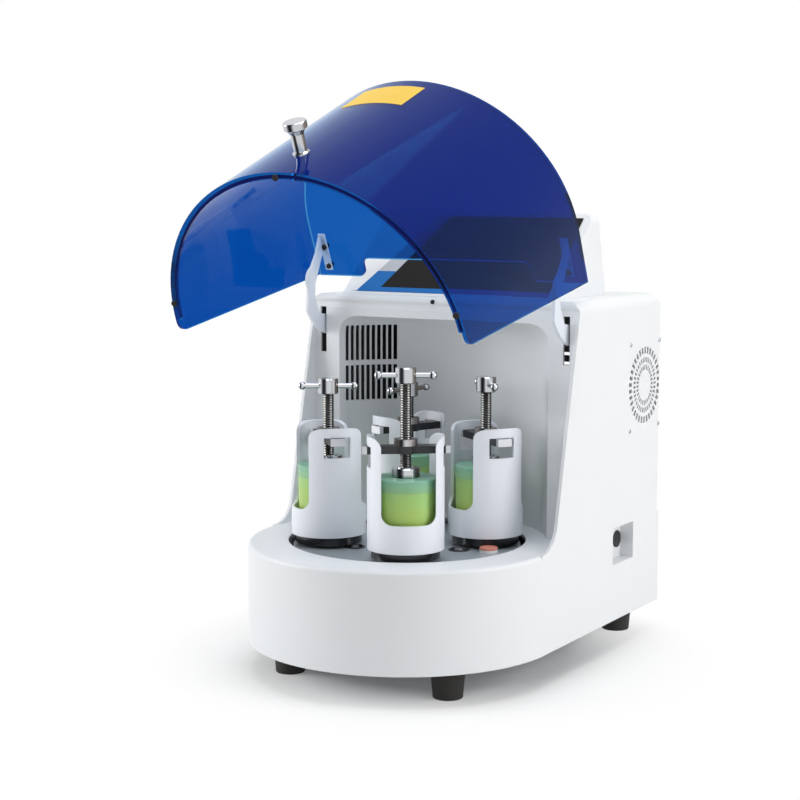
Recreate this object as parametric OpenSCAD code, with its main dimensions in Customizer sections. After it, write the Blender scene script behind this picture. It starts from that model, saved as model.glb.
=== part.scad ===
// Bench planetary ball mill with four grinding stations and a tilting clear hood.
// Millimetres, +Z up, the front faces -Y. The hood is drawn raised, as it rests.
// Every sub-part is one node; the sun axis is the vertical axis of the turntable.

/* [Body] */
// overall width of the moulded housing
body_w = 470; // [466:1:500]
// rear face, measured behind the sun axis
body_rear = 412; // [405:1:440]
// height of the drum deck above the bench
deck_z = 197.5; // [192:0.5:200]
// height of the tower top above the bench
tower_z = 555; // [548:1:570]
// wall of the moulded housing
wall = 4; // [3:0.5:5]
// height of the rubber feet
foot_h = 49; // [40:1:49]
// wall and air between the grinding chamber and the outside of the housing
chamber_side = 25; // [23:1:30]

/* [Hood] */
// how far the bent hood sheet stands out past the housing
hood_over = 2; // [1:0.5:5]
// hood sheet thickness
hood_t = 5; // [4:0.5:6]
// height of the hood from rim to top plate
hood_h = 365; // [355:1:368]
// opening angle drawn at rest
hood_open = 66.5; // [0:0.5:68]

/* [Stations] */
// radius of the circle of stations
planet_r = 118; // [118:1:118]
// angle of the first free station
station_angle = 29.5; // [0:0.5:90]
// outer radius of a jar holder
holder_r = 56; // [52:0.5:57]
// wall of a jar holder
holder_wall = 4; // [3:0.5:5]
// outer radius of a jar
jar_r = 45; // [38:0.5:46]
// height of a jar without its lid
jar_h = 78; // [60:1:80]
// running clearance on each side of a turning shaft
run_fit = 0.03; // [0.01:0.01:0.1]

/* [Clamp] */
// radius of the clamp screw
screw_r = 8; // [7:0.5:9]
// length of the handle bar
handle_len = 82; // [60:1:88]
// radius of the handle bar
handle_r = 4; // [2.5:0.5:4.5]
// radius of the pressure pad
pad_r = 20.5; // [18:0.5:22]

/* [Gear train] */
// gear module
gear_mod = 2; // [2:1:2]
// teeth on the fixed sun gear
sun_teeth = 57; // [57:1:57]
// teeth on an idler gear
idler_teeth = 21; // [21:1:21]
// teeth on a planet pinion
planet_teeth = 19; // [19:1:19]
// face width of the gears
gear_face = 16; // [10:1:18]
// play between meshing teeth
gear_play = 0.3; // [0.2:0.05:0.4]

/* [Drive] */
// radius of the turntable
table_r = 171; // [165:1:175]
// belt radius on the driven pulley
pulley_r = 75; // [60:1:80]
// belt radius on the motor pulley
motor_pulley_r = 30; // [25:1:40]
// distance of the motor axis behind the sun axis
motor_y = 305; // [298:1:315]
// radius of the motor body
motor_r = 68; // [50:1:70]

/* [Cooling] */
// slots in the outer ring of the cooling grille
grille_rays = 34; // [24:1:38]
// slots in one row of chamber vents
vent_slots = 10; // [6:1:10]

/* [Hidden] */
$fn = 64;
eps = 0.01;
half_w = body_w / 2;
hood_r = half_w + hood_over;
chamber_r = half_w - chamber_side;
drum_y = -7.7;
strip_y = 100.5;
cheek_t = 5;
cheek_in = half_w - cheek_t;
deck_t = 5;
deck_open_r = table_r + 7.6;
ceiling_z = 521;
ceiling_round = 28;
cheek_slope = 0.2262;
cheek_top = [102.3, 541.8];
cheek_round = 46;
edge_round = 18;
rear_round = 40;
rear_side_round = 9;
hinge_y = 116;
hinge_z = tower_z - 14;
hinge_r = 5;
hinge_eye = 9.5;
hinge_head_r = 8;
hood_rim_z = deck_z + 3.5;
top_z = hood_rim_z + hood_h - hood_t;
arm_top = top_z - 0.2;
hood_cy = -16.5;
hood_lean = 2;
hood_rear_rim = 13.5;
hood_rear_top = 99;
plate_rear = hood_cy + hood_rear_top - 3;
hood_corner = 18;
arm_x = hood_r - 23;
arm_t = 5;
arm_flange = 12;
arm_foot = [6, 68];
arm_leg_w = 25;
arm_foot_t = 3;
arm_screws = [28, 61];
notch_half = hood_r - 91;
notch_y = 48;
notch_round = 12;
knob_up = 60;
knob_len = 46;
knob_hole_r = 3.2;
knob_stem_r = 9.5;
knob_crown_r = 16.5;
rim_w = hood_t + 5;
arm_screw_r = 2.6;
slot_w = 10.6;
slot_z0 = 462;
slot_z1 = 534;
post_x = half_w - 11;
post_y = [-60, 140, 330];
post_r = 8;
post_h = 26;
post_hole_r = 2.5;
ceiling_hole_r = 30;
inlet_proud = 3;
bumper_y = hood_r - 7;
bumper_ring = hood_r - 4.7;
bumper_dir = 8.9;
bumper_r = 4.5;
bumper_h = 3;
front_open = hood_point(hood_cy - bumper_y - bumper_r, hood_rim_z - bumper_h);
y_shift = -(front_open[0] + body_rear + inlet_proud) / 2;
station_dirs = [station_angle - 90, station_angle, station_angle + 90, station_angle + 180];
lug_dirs = [36.6, -35.7, 67.5, -43];
handle_dirs = [30.7, -44, 75.7, 30.7];
hub_levels = [446, 420, 399, 417];
holder_z = 207;
holder_top = 371;
holder_floor = 8;
u_half = 39;
u_bottom = 248;
u_round = 15;
lug_round = 15;
window_w = 40;
window_z = 327;
window_h = 30;
bar_len = 127;
bar_w = 22;
bar_h = 11;
bar_z = window_z + window_h - bar_h - 0.5;
nut_r = 17;
nut_h = 9.5;
jar_z = holder_z + holder_floor;
lid_z = jar_z + jar_h;
lid_h = 18;
jar_wall = 6;
pad_z = lid_z + lid_h;
pad_h = 14;
pad_lip = 13;
pad_seat = 5;
hub_r = 15;
hub_h = 23;
table_top = 190;
table_t = 12;
flange_r = 50;
flange_h = 13;
shaft_r = 12.5;
shaft_z = 133;
collar_r = 17;
bearing_r = 23.5;
bearing_h = 12;
bearing_z = 160;
bearing_gap = 2;
shaft_bore_r = 19;
boss_r = 32;
boss_z = 158;
table_rib = 10;
table_rib_z = 166;
table_hub_r = 36;
table_rim = 6;
table_rim_z = 170;
plug_r = 16;
plug_depth = 4;
plug_places = [[-52, -66], [92, -5]];
cap_r = 11;
cap_place = [138, 2];
gear_z = 136;
main_r = 15;
main_bearing_r = 27.5;
main_bearing_h = 13;
main_bearing_z = [118, 145];
main_flange_z = 160;
main_flange_r = 30;
main_flange_t = 8;
tail_r = 11.95;
tail_top = 186;
sun_hub_r = 42;
sun_foot_r = 70;
sun_foot_t = 8;
sun_screw_r = 3.3;
sun_screw_circle = 63;
idler_pin_r = 6;
idler_sleeve_r = 7.5;
idler_head_r = 9;
idler_r = gear_mod * (sun_teeth + idler_teeth) / 2;
frame_z = 108;
frame_t = 8;
frame_side = 5;
frame_window_r = 16;
frame_window_y = [-50, 90, 160, 230, 340];
frame_window_z = 82;
shaft_hole_r = 30;
motor_hole_r = 36;
base_t = 6;
base_hole_r = 22;
base_hole_x = [-150, 150];
base_hole_y = [0, 80, 250];
foot_bolt_r = 4;
foot_r = 26;
foot_sole_r = 22;
foot_bore_r = 8;
foot_bore_h = 18;
frame_half = 95;
frame_front = -100;
frame_back = 385;
pulley_z = 70;
pulley_h = 27;
pulley_rim = 8;
pulley_hub_r = 28;
flange_lip = 3;
motor_shaft_r = 12;
belt_w = 20;
belt_t = 4;
belt_play = 0.14;
motor_h = 170;
motor_fins = 24;
console_half = 185;
console_wall = 3;
console_round = 14;
console_back = 300;
console_crown = 6;
console_tilt = 13.3;
overlay_w = 344;
overlay_t = 0.8;
overlay_from = 7;
overlay_to = 179;
panel_foot = [112, tower_z];
panel_top = [253, tower_z + 127];
fan_y = 346;
fan_z = 410;
fan_w = 122;
fan_h = 144;
fan_d = 38;
fan_bore = 58;
fan_hub_r = 22;
fan_motor_r = 20;
fan_tip_gap = 1.5;
fan_screw = [57, 68];
fan_screw_r = 2.2;
blades = 7;
grille_rows = [[50.5, 10.5], [36.5, 8], [24.5, 8]];
grille_counts = [grille_rays, 36, 28];
grille_slots = [6, 4, 3.6];
vent_first = 125.7;
vent_step = 2.42;
vent_slot = 6;
vent_h = 56;
vent_z = [448, 384];
pocket = [231, 309, 138, 196];
pocket_d = 22;
switch_y = 293;
switch_z = 168;
switch_r = 13.5;
switch_body_r = 10.2;
rocker_pin_r = 1.5;
rocker_pin_h = 13.4;
cover_x = 200;
cover_z0 = 75;
cover_z1 = 520;
cover_lap = 8;
cover_t = 2;
cover_screw_r = 2;
louvre_x = [-110, 40];
louvre_w = 70;
louvre_h = 5;
louvre_step = 16;
louvre_z = concat([for (i = [0 : 5]) 170 + i * louvre_step], [for (i = [0 : 9]) 300 + i * louvre_step]);
inlet_x = 120;
inlet_z = 112;
inlet_body = [27.6, 22, 20.6];
inlet_plate = [50, 28];
inlet_mouth = [23, 16, 16];
inlet_pins = [[-7, -4], [0, 0], [7, -4]];
feet_front = [135.7, -115.4];
feet_rear = [176, 378];

// point of the closed hood, turned to its open place
function hood_point(y, z) = [
    hinge_y + (y - hinge_y) * cos(hood_open) + (z - hinge_z) * sin(hood_open),
    hinge_z - (y - hinge_y) * sin(hood_open) + (z - hinge_z) * cos(hood_open)
];

// points on an arc round c, from angle a0 to a1
function arc(c, r, a0, a1, n = 8) = [
    for (i = [0 : n]) c + r * [cos(a0 + (a1 - a0) * i / n), sin(a0 + (a1 - a0) * i / n)]
];

function polar(r, a) = [r * cos(a), r * sin(a)];

// involute flank: angle of the flank at radius r for base radius rb
function inv_angle(r, rb) = sqrt(max(0, r * r / (rb * rb) - 1)) * 180 / PI - acos(min(1, rb / r));

// outline of an involute gear with its first tooth at angle a0
function gear_points(n, a0) = let(
    rp = gear_mod * n / 2,
    rb = rp * cos(20),
    rr = rp - 1.2 * gear_mod,
    ra = rp + gear_mod - 0.1,
    half = 90 / n - gear_play / 2 / rp * 180 / PI + inv_angle(rp, rb),
    rs = [rr, max(rb, rr) + 0.3, rp - 0.2, rp + 0.9, ra],
    ha = [for (r = rs) half - inv_angle(max(r, rb), rb)]
) [
    for (i = [0 : n - 1]) for (j = [0 : 9]) let(
        c = a0 + 360 * i / n,
        k = j < 5 ? j : 9 - j,
        a = j < 5 ? -ha[k] : ha[k]
    ) polar(rs[k], c + a)
];

// tooth place of a wheel driven at direction dir by a wheel of n1 teeth placed at a1
function mesh_angle(dir, n1, a1, n2) = dir + 180 + ((dir - a1) * n1 / 360 + 0.5) * 360 / n2;

module place() {
    translate([0, y_shift, 0]) children();
}

module at_station(k) {
    place() translate(concat(polar(planet_r, station_dirs[k]), [0])) children();
}

module hood_pose() {
    place() translate([0, hinge_y, hinge_z]) rotate([-hood_open, 0, 0])
        translate([0, -hinge_y, -hinge_z]) children();
}

// prism drawn in the side view (y, z) and pulled along x
module side_prism(x0, x1) {
    translate([x0, 0, 0]) rotate([90, 0, 90]) linear_extrude(x1 - x0) children();
}

// prism drawn in the front view (x, z) and pulled along y
module front_prism(y0, y1) {
    translate([0, y1, 0]) rotate([90, 0, 0]) linear_extrude(y1 - y0) children();
}

module rod_y(r, h) {
    rotate([90, 0, 0]) cylinder(r = r, h = h, center = true);
}

module rod_x(r, h) {
    rotate([0, 90, 0]) cylinder(r = r, h = h, center = true);
}

module rod_between(r, h) {
    rotate([0, 90, 0]) cylinder(r = r, h = h);
}

// drum body in plan with a round front; inset moves every side inwards
module drum(inset, z0, z1, top_round) {
    r = half_w - inset;
    rear = body_rear - inset;
    edge = arc([r - top_round, z1 - top_round], top_round, 0, 90, 5);
    profile = concat([[0, z0], [r, z0]], edge, [[0, z1]]);
    translate([0, drum_y, 0]) intersection() {
        rotate_extrude($fn = 128) polygon(profile);
        translate([-body_w, -body_w, z0 - 1]) cube([2 * body_w, body_w, z1 - z0 + 2]);
    }
    front_prism(drum_y - eps, rear) polygon(concat(
        [[-r, z0], [r, z0]],
        arc([r - top_round, z1 - top_round], top_round, 0, 90, 5),
        arc([-r + top_round, z1 - top_round], top_round, 90, 180, 5)
    ));
}

module plan_rear(inset) {
    r = half_w - inset;
    rear = body_rear - inset;
    q = rear_side_round - inset / 2;
    polygon(concat(
        [[-r, -300], [r, -300]],
        arc([r - q, rear - q], q, 0, 90, 5),
        arc([-r + q, rear - q], q, 90, 180, 5)
    ));
}

function cheek_at(z) = cheek_top[0] - cheek_slope * (cheek_top[1] - z);

// outer form of the tower with its slanted side cheeks
module tower_form() {
    fz = deck_z + cheek_round;
    tilt = atan(cheek_slope);
    touch = fz - cheek_round * sin(tilt);
    cy = cheek_at(touch) - cheek_round * cos(tilt);
    side = concat(
        [[cy - 4, deck_z - 8], [cy - 4, deck_z]],
        arc([cy, fz], cheek_round, 270, 360 - tilt, 8),
        [cheek_top],
        arc([strip_y + 8, tower_z - 8], 8, 180, 90, 3),
        arc([body_rear - rear_round, tower_z - rear_round], rear_round, 90, 0, 8),
        [[body_rear, deck_z - 8]]
    );
    intersection() {
        side_prism(-half_w, half_w) polygon(side);
        front_prism(-300, body_rear + 1) polygon(concat(
            [[-half_w, 100], [half_w, 100]],
            arc([half_w - edge_round, tower_z - edge_round], edge_round, 0, 90, 6),
            arc([-half_w + edge_round, tower_z - edge_round], edge_round, 90, 180, 6)
        ));
        translate([0, 0, 100]) linear_extrude(tower_z) plan_rear(0);
    }
}

module chamber_form(grow) {
    r = chamber_r + grow;
    top = ceiling_z + grow;
    q = ceiling_round + grow / 2;
    z0 = grow > 0 ? deck_z - 2 * deck_t : deck_z;
    rotate_extrude($fn = 128) polygon(concat([[0, z0], [r, z0]],
        arc([r - q, top - q], q, 0, 90, 6), [[0, top]]));
}

module tower_cavity() {
    r = half_w - wall;
    top = tower_z - wall;
    rear = body_rear - wall;
    q = edge_round - wall;
    side = concat(
        [[strip_y + wall, deck_z - deck_t - 1], [strip_y + wall, top]],
        arc([rear - rear_round + wall, top - rear_round + wall], rear_round - wall, 90, 0, 6),
        [[rear, deck_z - deck_t - 1]]
    );
    difference() {
        intersection() {
            side_prism(-r, r) polygon(side);
            front_prism(strip_y, body_rear) polygon(concat(
                [[-r, 100], [r, 100]], arc([r - q, top - q], q, 0, 90, 5),
                    arc([-r + q, top - q], q, 90, 180, 5)
            ));
        }
        chamber_form(wall);
    }
}

// rings of radial slots of the cooling grille, cut through the side wall
module grille_cut() {
    translate([half_w - wall - 1, fan_y, fan_z]) for (ring = [0 : len(grille_rows) - 1])
        for (i = [1 : grille_counts[ring]]) rotate([i * 360 / grille_counts[ring], 0, 0])
            translate([0, -grille_slots[ring] / 2, grille_rows[ring][0]])
                cube([wall + 2, grille_slots[ring], grille_rows[ring][1]]);
}

// rows of upright slots in the chamber wall
module vent_cut() {
    for (z = vent_z) for (i = [0 : vent_slots - 1]) rotate([0, 0, vent_first + vent_step * i])
        translate([chamber_r - 3, -vent_slot / 2, z]) cube([wall + 6, vent_slot, vent_h]);
}

// flat plate of the rear cover, kept back from its seat by gap
module cover_form(gap, t) {
    lap = cover_lap - gap;
    translate([-cover_x - lap, body_rear - cover_t, cover_z0 - lap])
        cube([2 * cover_x + 2 * lap, t, cover_z1 - cover_z0 + 2 * lap]);
}

module housing() color("white") place() difference() {
    union() {
        drum(0, foot_h, deck_z, 6);
        tower_form();
    }
    difference() {
        union() {
            drum(wall, foot_h - 1, deck_z - deck_t, 2);
            tower_cavity();
        }
        translate([half_w - pocket_d - wall, pocket[0] - wall, pocket[2] - wall])
            cube([pocket_d + wall, pocket[1] - pocket[0] + 2 * wall, pocket[3] - pocket[2] + 2 * wall]);
        for (s = [-1, 1]) translate([s * (half_w - 8), hinge_y, hinge_z]) rod_x(hinge_eye - 0.5, 16);
        for (s = [-1, 1]) for (y = post_y) translate([s * post_x, y, foot_h + base_t])
            cylinder(r = post_r, h = post_h);
    }
    cylinder(r = deck_open_r, h = deck_z + 1);
    chamber_form(0);
    translate([-cheek_in, -130, deck_z]) cube([2 * cheek_in, 130 + strip_y, tower_z]);
    for (s = [-1, 1]) translate([s * arm_x - slot_w / 2, strip_y - 1, slot_z0])
        cube([slot_w, wall + 2, slot_z1 - slot_z0]);
    translate([half_w - pocket_d, pocket[0], pocket[2]])
        cube([pocket_d + 1, pocket[1] - pocket[0], pocket[3] - pocket[2]]);
    translate([half_w - pocket_d - wall / 2, switch_y, switch_z]) rod_x(switch_body_r + 0.1, wall + 2);
    for (s = [-1, 1]) translate([s * (half_w - 10), hinge_y, hinge_z]) rod_x(hinge_r, 12);
    for (s = [-1, 1]) for (y = post_y) translate([s * post_x, y, foot_h])
        cylinder(r = post_hole_r, h = base_t + post_h - 4);
    translate([-cover_x, body_rear - wall - 1, cover_z0])
        cube([2 * cover_x, wall + 2, cover_z1 - cover_z0]);
    cover_form(0, cover_t + 1);
    grille_cut();
    vent_cut();
    translate([0, strip_y + 120, tower_z - wall / 2])
        cylinder(r = ceiling_hole_r, h = wall + 2, center = true);
}

module chassis() color("silver") place() difference() {
    union() {
        difference() {
            drum(wall + 0.4, foot_h, foot_h + base_t, 0.5);
            for (x = base_hole_x) for (y = base_hole_y) translate([x, y, foot_h - 1])
                cylinder(r = base_hole_r, h = base_t + 2);
        }
        translate([-frame_half, frame_front, foot_h + base_t - 1])
            cube([2 * frame_half, frame_back - frame_front, frame_z + frame_t - foot_h - base_t + 1]);
    }
    translate([-frame_half + frame_side, frame_front - 1, foot_h + base_t])
        cube([2 * (frame_half - frame_side), frame_back - frame_front + 2, frame_z - foot_h - base_t]);
    translate([0, 0, frame_z - 1]) cylinder(r = shaft_hole_r, h = frame_t + 2);
    translate([0, motor_y, frame_z - 1]) cylinder(r = motor_hole_r, h = frame_t + 2);
    for (y = frame_window_y) translate([0, y, frame_window_z]) rod_x(frame_window_r, 2 * frame_half + 2);
    for (s = [-1, 1]) for (y = post_y) translate([s * post_x, y, foot_h - 1])
        cylinder(r = post_hole_r + 0.5, h = base_t + 2);
    at_feet() translate([0, 0, foot_h - 1]) cylinder(r = foot_bolt_r, h = base_t + 2);
}

// puts its child at each of the four feet
module at_feet() {
    for (s = [-1, 1]) for (p = [feet_front, feet_rear]) translate([s * p[0], p[1], 0]) children();
}

module feet() color("dimgray") place() at_feet() rotate_extrude() polygon([
    [foot_bore_r, 0], [foot_sole_r - 1, 0], [foot_sole_r, 1], [foot_r, foot_h],
    [foot_bolt_r, foot_h], [foot_bolt_r, foot_bore_h], [foot_bore_r, foot_bore_h]
]);

module rear_cover() color("gainsboro") place() difference() {
    cover_form(0.5, cover_t);
    for (x = louvre_x) for (z = louvre_z) translate([x, body_rear - cover_t - 1, z])
        cube([louvre_w, cover_t + 2, louvre_h]);
    translate([inlet_x - inlet_body[0] / 2 - 0.2, body_rear - cover_t - 1, inlet_z - inlet_body[2] / 2 - 0.2])
        cube([inlet_body[0] + 0.4, cover_t + 2, inlet_body[2] + 0.4]);
    for (s = [-1, 1]) for (z = [cover_z0 + 10, (cover_z0 + cover_z1) / 2, cover_z1 - 10])
        translate([s * (cover_x + cover_lap / 2), body_rear - cover_t / 2, z])
            rod_y(cover_screw_r, cover_t + 2);
}

module mains_inlet() color("black") place() translate([inlet_x, body_rear, inlet_z]) difference() {
    union() {
        translate([-inlet_plate[0] / 2, 0, -inlet_plate[1] / 2])
            cube([inlet_plate[0], inlet_proud, inlet_plate[1]]);
        translate([-inlet_body[0] / 2, -inlet_body[1], -inlet_body[2] / 2])
            cube([inlet_body[0], inlet_body[1] + 1, inlet_body[2]]);
    }
    difference() {
        translate([-inlet_mouth[0] / 2, -inlet_mouth[1], -inlet_mouth[2] / 2])
            cube([inlet_mouth[0], inlet_mouth[1] + inlet_proud + 1, inlet_mouth[2]]);
        for (p = inlet_pins) translate([p[0] - 1, -inlet_mouth[1] - 1, p[1]])
            cube([2, inlet_mouth[1] - 1, 4]);
    }
    for (x = [-20, 20]) translate([x, inlet_proud / 2, 0]) rod_y(1.8, inlet_proud + 2);
}

function console_side(inset) = let(d = inset) concat(
    [[panel_foot[0] + d * 1.6, panel_foot[1] + (d > 0 ? -1 : 0)]],
    arc(panel_top + [console_crown, -console_round], console_round - d, 132, console_tilt, 9),
    [[console_back - d, panel_foot[1] + (d > 0 ? -1 : 0)]]
);

module console_form(inset) {
    h = panel_top[1];
    w = console_half - inset;
    q = console_round - inset;
    intersection() {
        side_prism(-w, w) polygon(console_side(inset));
        front_prism(50, console_back + 26) polygon(concat(
            [[-w, panel_foot[1] - 2], [w, panel_foot[1] - 2]],
            arc([w - q, h - q - inset], q, 0, 90, 6),
            arc([-w + q, h - q - inset], q, 90, 180, 6)
        ));
    }
}

module control_console() color("white") place() difference() {
    console_form(0);
    console_form(console_wall);
}

module control_overlay() color("midnightblue") place() translate([0, panel_foot[0], panel_foot[1]])
    rotate([atan2(panel_top[1] - panel_foot[1], panel_top[0] - panel_foot[0]), 0, 0])
        translate([-overlay_w / 2, overlay_from, 0])
            cube([overlay_w, overlay_to - overlay_from, overlay_t]);

module switch_frame() color("black") place() translate([half_w - pocket_d, switch_y, switch_z]) {
    difference() {
        union() {
            rod_between(switch_r, 2);
            translate([-18, 0, 0]) rod_between(switch_body_r, 19);
        }
        translate([-12, -7.2, -5.2]) cube([20, 14.4, 10.4]);
        cylinder(r = rocker_pin_r + run_fit, h = rocker_pin_h + 0.6, center = true);
    }
}

module power_rocker() color("black") place() translate([half_w - pocket_d, switch_y, switch_z])
    rotate([0, 0, -8]) difference() {
        union() {
            translate([-6, -6.4, -4.8]) cube([9.5, 12.8, 9.6]);
            cylinder(r = rocker_pin_r, h = rocker_pin_h, center = true);
        }
        translate([9.5, 0, 0]) cylinder(r = 7.2, h = 12, center = true);
    }

module fan_frame() color("black") place() translate([half_w - wall - fan_d, fan_y, fan_z]) difference() {
    union() {
        difference() {
            translate([0, -fan_w / 2, -fan_h / 2]) cube([fan_d, fan_w, fan_h]);
            translate([-1, 0, 0]) rod_between(fan_bore, fan_d + 2);
        }
        rod_between(fan_motor_r, 14);
        for (i = [0 : 2]) rotate([i * 120 + 30, 0, 0]) translate([0, -4, 15]) cube([6, 8, fan_bore - 14]);
    }
    for (y = [-1, 1]) for (z = [-1, 1]) translate([-1, y * fan_screw[0], z * fan_screw[1]])
        rod_between(fan_screw_r, fan_d + 2);
}

module fan_rotor() color("dimgray") place() translate([half_w - wall - fan_d, fan_y, fan_z]) {
    translate([15, 0, 0]) rod_between(fan_hub_r, 19);
    intersection() {
        translate([15, 0, 0]) rod_between(fan_bore - fan_tip_gap, 19);
        for (i = [1 : blades]) rotate([i * 360 / blades, 0, 0]) translate([24.5, 0, fan_hub_r - 2])
            rotate([0, 0, 38]) translate([-14, -1.2, 0]) cube([28, 2.4, fan_bore]);
    }
}

// outline of the hood in plan, straight sides drawn longer than needed
module hood_plan(r) {
    circle(r = r, $fn = 128);
    translate([-r, 0]) square([2 * r, 200]);
}

function hood_cut_points() = let(
    rim = [hood_cy + hood_rear_rim, hood_rim_z],
    top_y = hood_cy + hood_rear_top - 3,
    slope = (top_y - rim[0]) / hood_h
) concat(
    [[-400, hood_rim_z], [rim[0] - hood_corner, hood_rim_z]],
    arc([rim[0] - hood_corner, hood_rim_z + hood_corner], hood_corner, 270, 345, 5),
    [[rim[0] + slope * hood_h, hood_rim_z + hood_h], [-400, hood_rim_z + hood_h]]
);

module hood_wall(r, z0, z1) {
    translate([0, hood_cy, hood_rim_z]) rotate([-hood_lean, 0, 0])
        translate([0, 0, z0 - hood_rim_z - 20]) linear_extrude(z1 - z0 + 40) hood_plan(r);
}

module hood_sheet() color("mediumblue") hood_pose() difference() {
    intersection() {
        hood_wall(hood_r, hood_rim_z, hood_rim_z + hood_h);
        side_prism(-half_w - 10, half_w + 10) polygon(hood_cut_points());
    }
    difference() {
        hood_wall(hood_r - hood_t, hood_rim_z, hood_rim_z + hood_h);
        difference() {
            translate([-body_w, hood_cy - 10 - 2 * body_w, hood_rim_z - 1])
                cube([2 * body_w, 2 * body_w, hood_t + 1]);
            hood_wall(hood_r - rim_w, hood_rim_z, hood_rim_z + hood_h);
        }
    }
    at_knob() translate([0, 0, -rim_w]) cylinder(r = knob_hole_r, h = 2 * rim_w);
}

// puts its child on the outside of the hood sheet, facing forward, before the hood is raised
module at_knob() {
    translate([0, hood_cy, hood_rim_z]) rotate([-hood_lean, 0, 0]) translate([0, 0, knob_up])
        rotate([90, 0, 0]) translate([0, 0, hood_r]) children();
}

// notch in the rear edge of the top plate, both its corners rounded
module notch_plan() {
    q = notch_round;
    a = notch_half;
    polygon(concat(
        [[-a - q, plate_rear + q]],
        arc([-a - q, plate_rear - q], q, 90, 0, 5),
        arc([-a + q, notch_y + q], q, 180, 270, 5),
        arc([a - q, notch_y + q], q, 270, 360, 5),
        arc([a + q, plate_rear - q], q, 180, 90, 5),
        [[a + q, plate_rear + q]]
    ));
}

module hood_top_plate() color("mediumblue") hood_pose() difference() {
    intersection() {
        hood_wall(hood_r - hood_t - 0.1, hood_rim_z, hood_rim_z + hood_h);
        translate([-body_w, plate_rear - 2 * body_w, top_z]) cube([2 * body_w, 2 * body_w, hood_t]);
    }
    translate([0, 0, top_z - 1]) linear_extrude(hood_t + 2) notch_plan();
    for (s = [-1, 1]) for (y = arm_screws) translate([s * (arm_x - arm_t), y, top_z - 1])
        cylinder(r = arm_screw_r, h = hood_t + 2);
}

// side view of an arm: leg under the plate, bend below the slot, hook up to the hinge eye
function arm_points() = let(h = [hinge_y, hinge_z]) concat(
    [[arm_foot[0], arm_top], h + [-102, 12], h + [-86, -3]],
    arc(h + [-51, -25], 21, 178, 285, 6),
    arc(h + [-26, 26], 88, 277, 319, 6),
    arc(h + [32, -19], 14, 330, 420, 5),
    arc(h, hinge_eye, 50, 240, 7),
    arc(h + [5, -11], 12, 60, -60, 5),
    arc(h + [-18, 58], 93, 284, 262, 4),
    arc(h + [-34, -12], 18, 262, 205, 3),
    [h + [-63, -7], h + [-77, 9], [arm_foot[0] + arm_leg_w, arm_top]]
);

module hood_arms() color("lightgray") hood_pose() for (s = [-1, 1]) difference() {
    union() {
        side_prism(s * arm_x - arm_t / 2, s * arm_x + arm_t / 2) polygon(arm_points());
        translate([s * (arm_x + (arm_t - arm_flange) / 2), arm_foot * [0.5, 0.5], arm_top - arm_foot_t / 2])
            cube([arm_flange, arm_foot[1] - arm_foot[0], arm_foot_t], center = true);
    }
    translate([s * arm_x, hinge_y, hinge_z]) rod_x(hinge_r + run_fit, arm_t + 2);
    for (y = arm_screws) translate([s * (arm_x - arm_t), y, top_z - 6]) cylinder(r = arm_screw_r, h = 8);
}

module hinge_pins() color("silver") place() for (s = [-1, 1]) translate([0, hinge_y, hinge_z]) {
    translate([s * (arm_x + half_w - 10) / 2, 0, 0]) rod_x(hinge_r, half_w - arm_x);
    translate([s * (arm_x - arm_t), 0, 0]) rod_x(hinge_head_r, 3);
    translate([s * (arm_x + 3.9), 0, 0]) rod_x(hinge_head_r - 0.5, 1.8);
}

module hood_bumpers() color("black") hood_pose() {
    translate([0, hood_cy - bumper_y, hood_rim_z - bumper_h]) cylinder(r = bumper_r, h = bumper_h);
    for (a = [-bumper_dir, 180 + bumper_dir])
        translate(concat([0, hood_cy] + polar(bumper_ring, a), [hood_rim_z - bumper_h]))
            cylinder(r = bumper_r, h = bumper_h);
}

// turned knob: a stud through the sheet, a foot, a stem and a wide crown
module hood_knob() color("silver") hood_pose() at_knob() rotate_extrude() polygon(concat(
    [[0, -8], [knob_hole_r - 0.2, -8], [knob_hole_r - 0.2, 0.2], [knob_stem_r + 2.5, 0.2]],
    [[knob_stem_r + 2.5, 2], [knob_stem_r, 4], [knob_stem_r, knob_len - 18]],
    [[knob_crown_r - 4, knob_len - 13], [knob_crown_r, knob_len - 10]],
    arc([knob_crown_r - 2, knob_len - 2], 2, 0, 90, 4),
    [[0, knob_len]]
));

module turntable() color("lightgray") place() difference() {
    union() {
        translate([0, 0, table_top - table_t]) cylinder(r = table_r, h = table_t, $fn = 128);
        translate([0, 0, main_flange_z + main_flange_t]) cylinder(r = table_hub_r, h = 12);
        for (a = station_dirs) rotate([0, 0, a]) translate([planet_r, 0, boss_z])
            cylinder(r = boss_r, h = 22);
        for (i = [0 : 3]) rotate([0, 0, station_angle + 45 + i * 90])
            translate([table_hub_r - 6, -table_rib / 2, table_rib_z])
            cube([table_r - table_hub_r - 10, table_rib, table_top - table_rib_z - 10]);
        translate([0, 0, table_rim_z]) rotate_extrude($fn = 128)
            translate([table_r - table_rim, 0]) square([table_rim, table_top - table_rim_z - 8]);
    }
    translate([0, 0, main_flange_z]) cylinder(r = tail_r + 0.05, h = tail_top + 1 - main_flange_z);
    for (a = station_dirs) rotate([0, 0, a]) translate([planet_r, 0, 0]) {
        translate([0, 0, boss_z - 1]) cylinder(r = shaft_bore_r, h = 40);
        translate([0, 0, bearing_z]) cylinder(r = bearing_r, h = 2 * bearing_h + bearing_gap);
    }
    for (a = station_dirs) rotate([0, 0, a]) translate([idler_r, 0, table_rim_z])
        cylinder(r = idler_pin_r, h = tail_top + 1 - table_rim_z);
    for (p = plug_places) translate([p[0], p[1], table_top - plug_depth])
        cylinder(r = plug_r, h = plug_depth + 1);
    translate([cap_place[0], cap_place[1], table_top - plug_depth]) cylinder(r = cap_r, h = plug_depth + 1);
}

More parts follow.
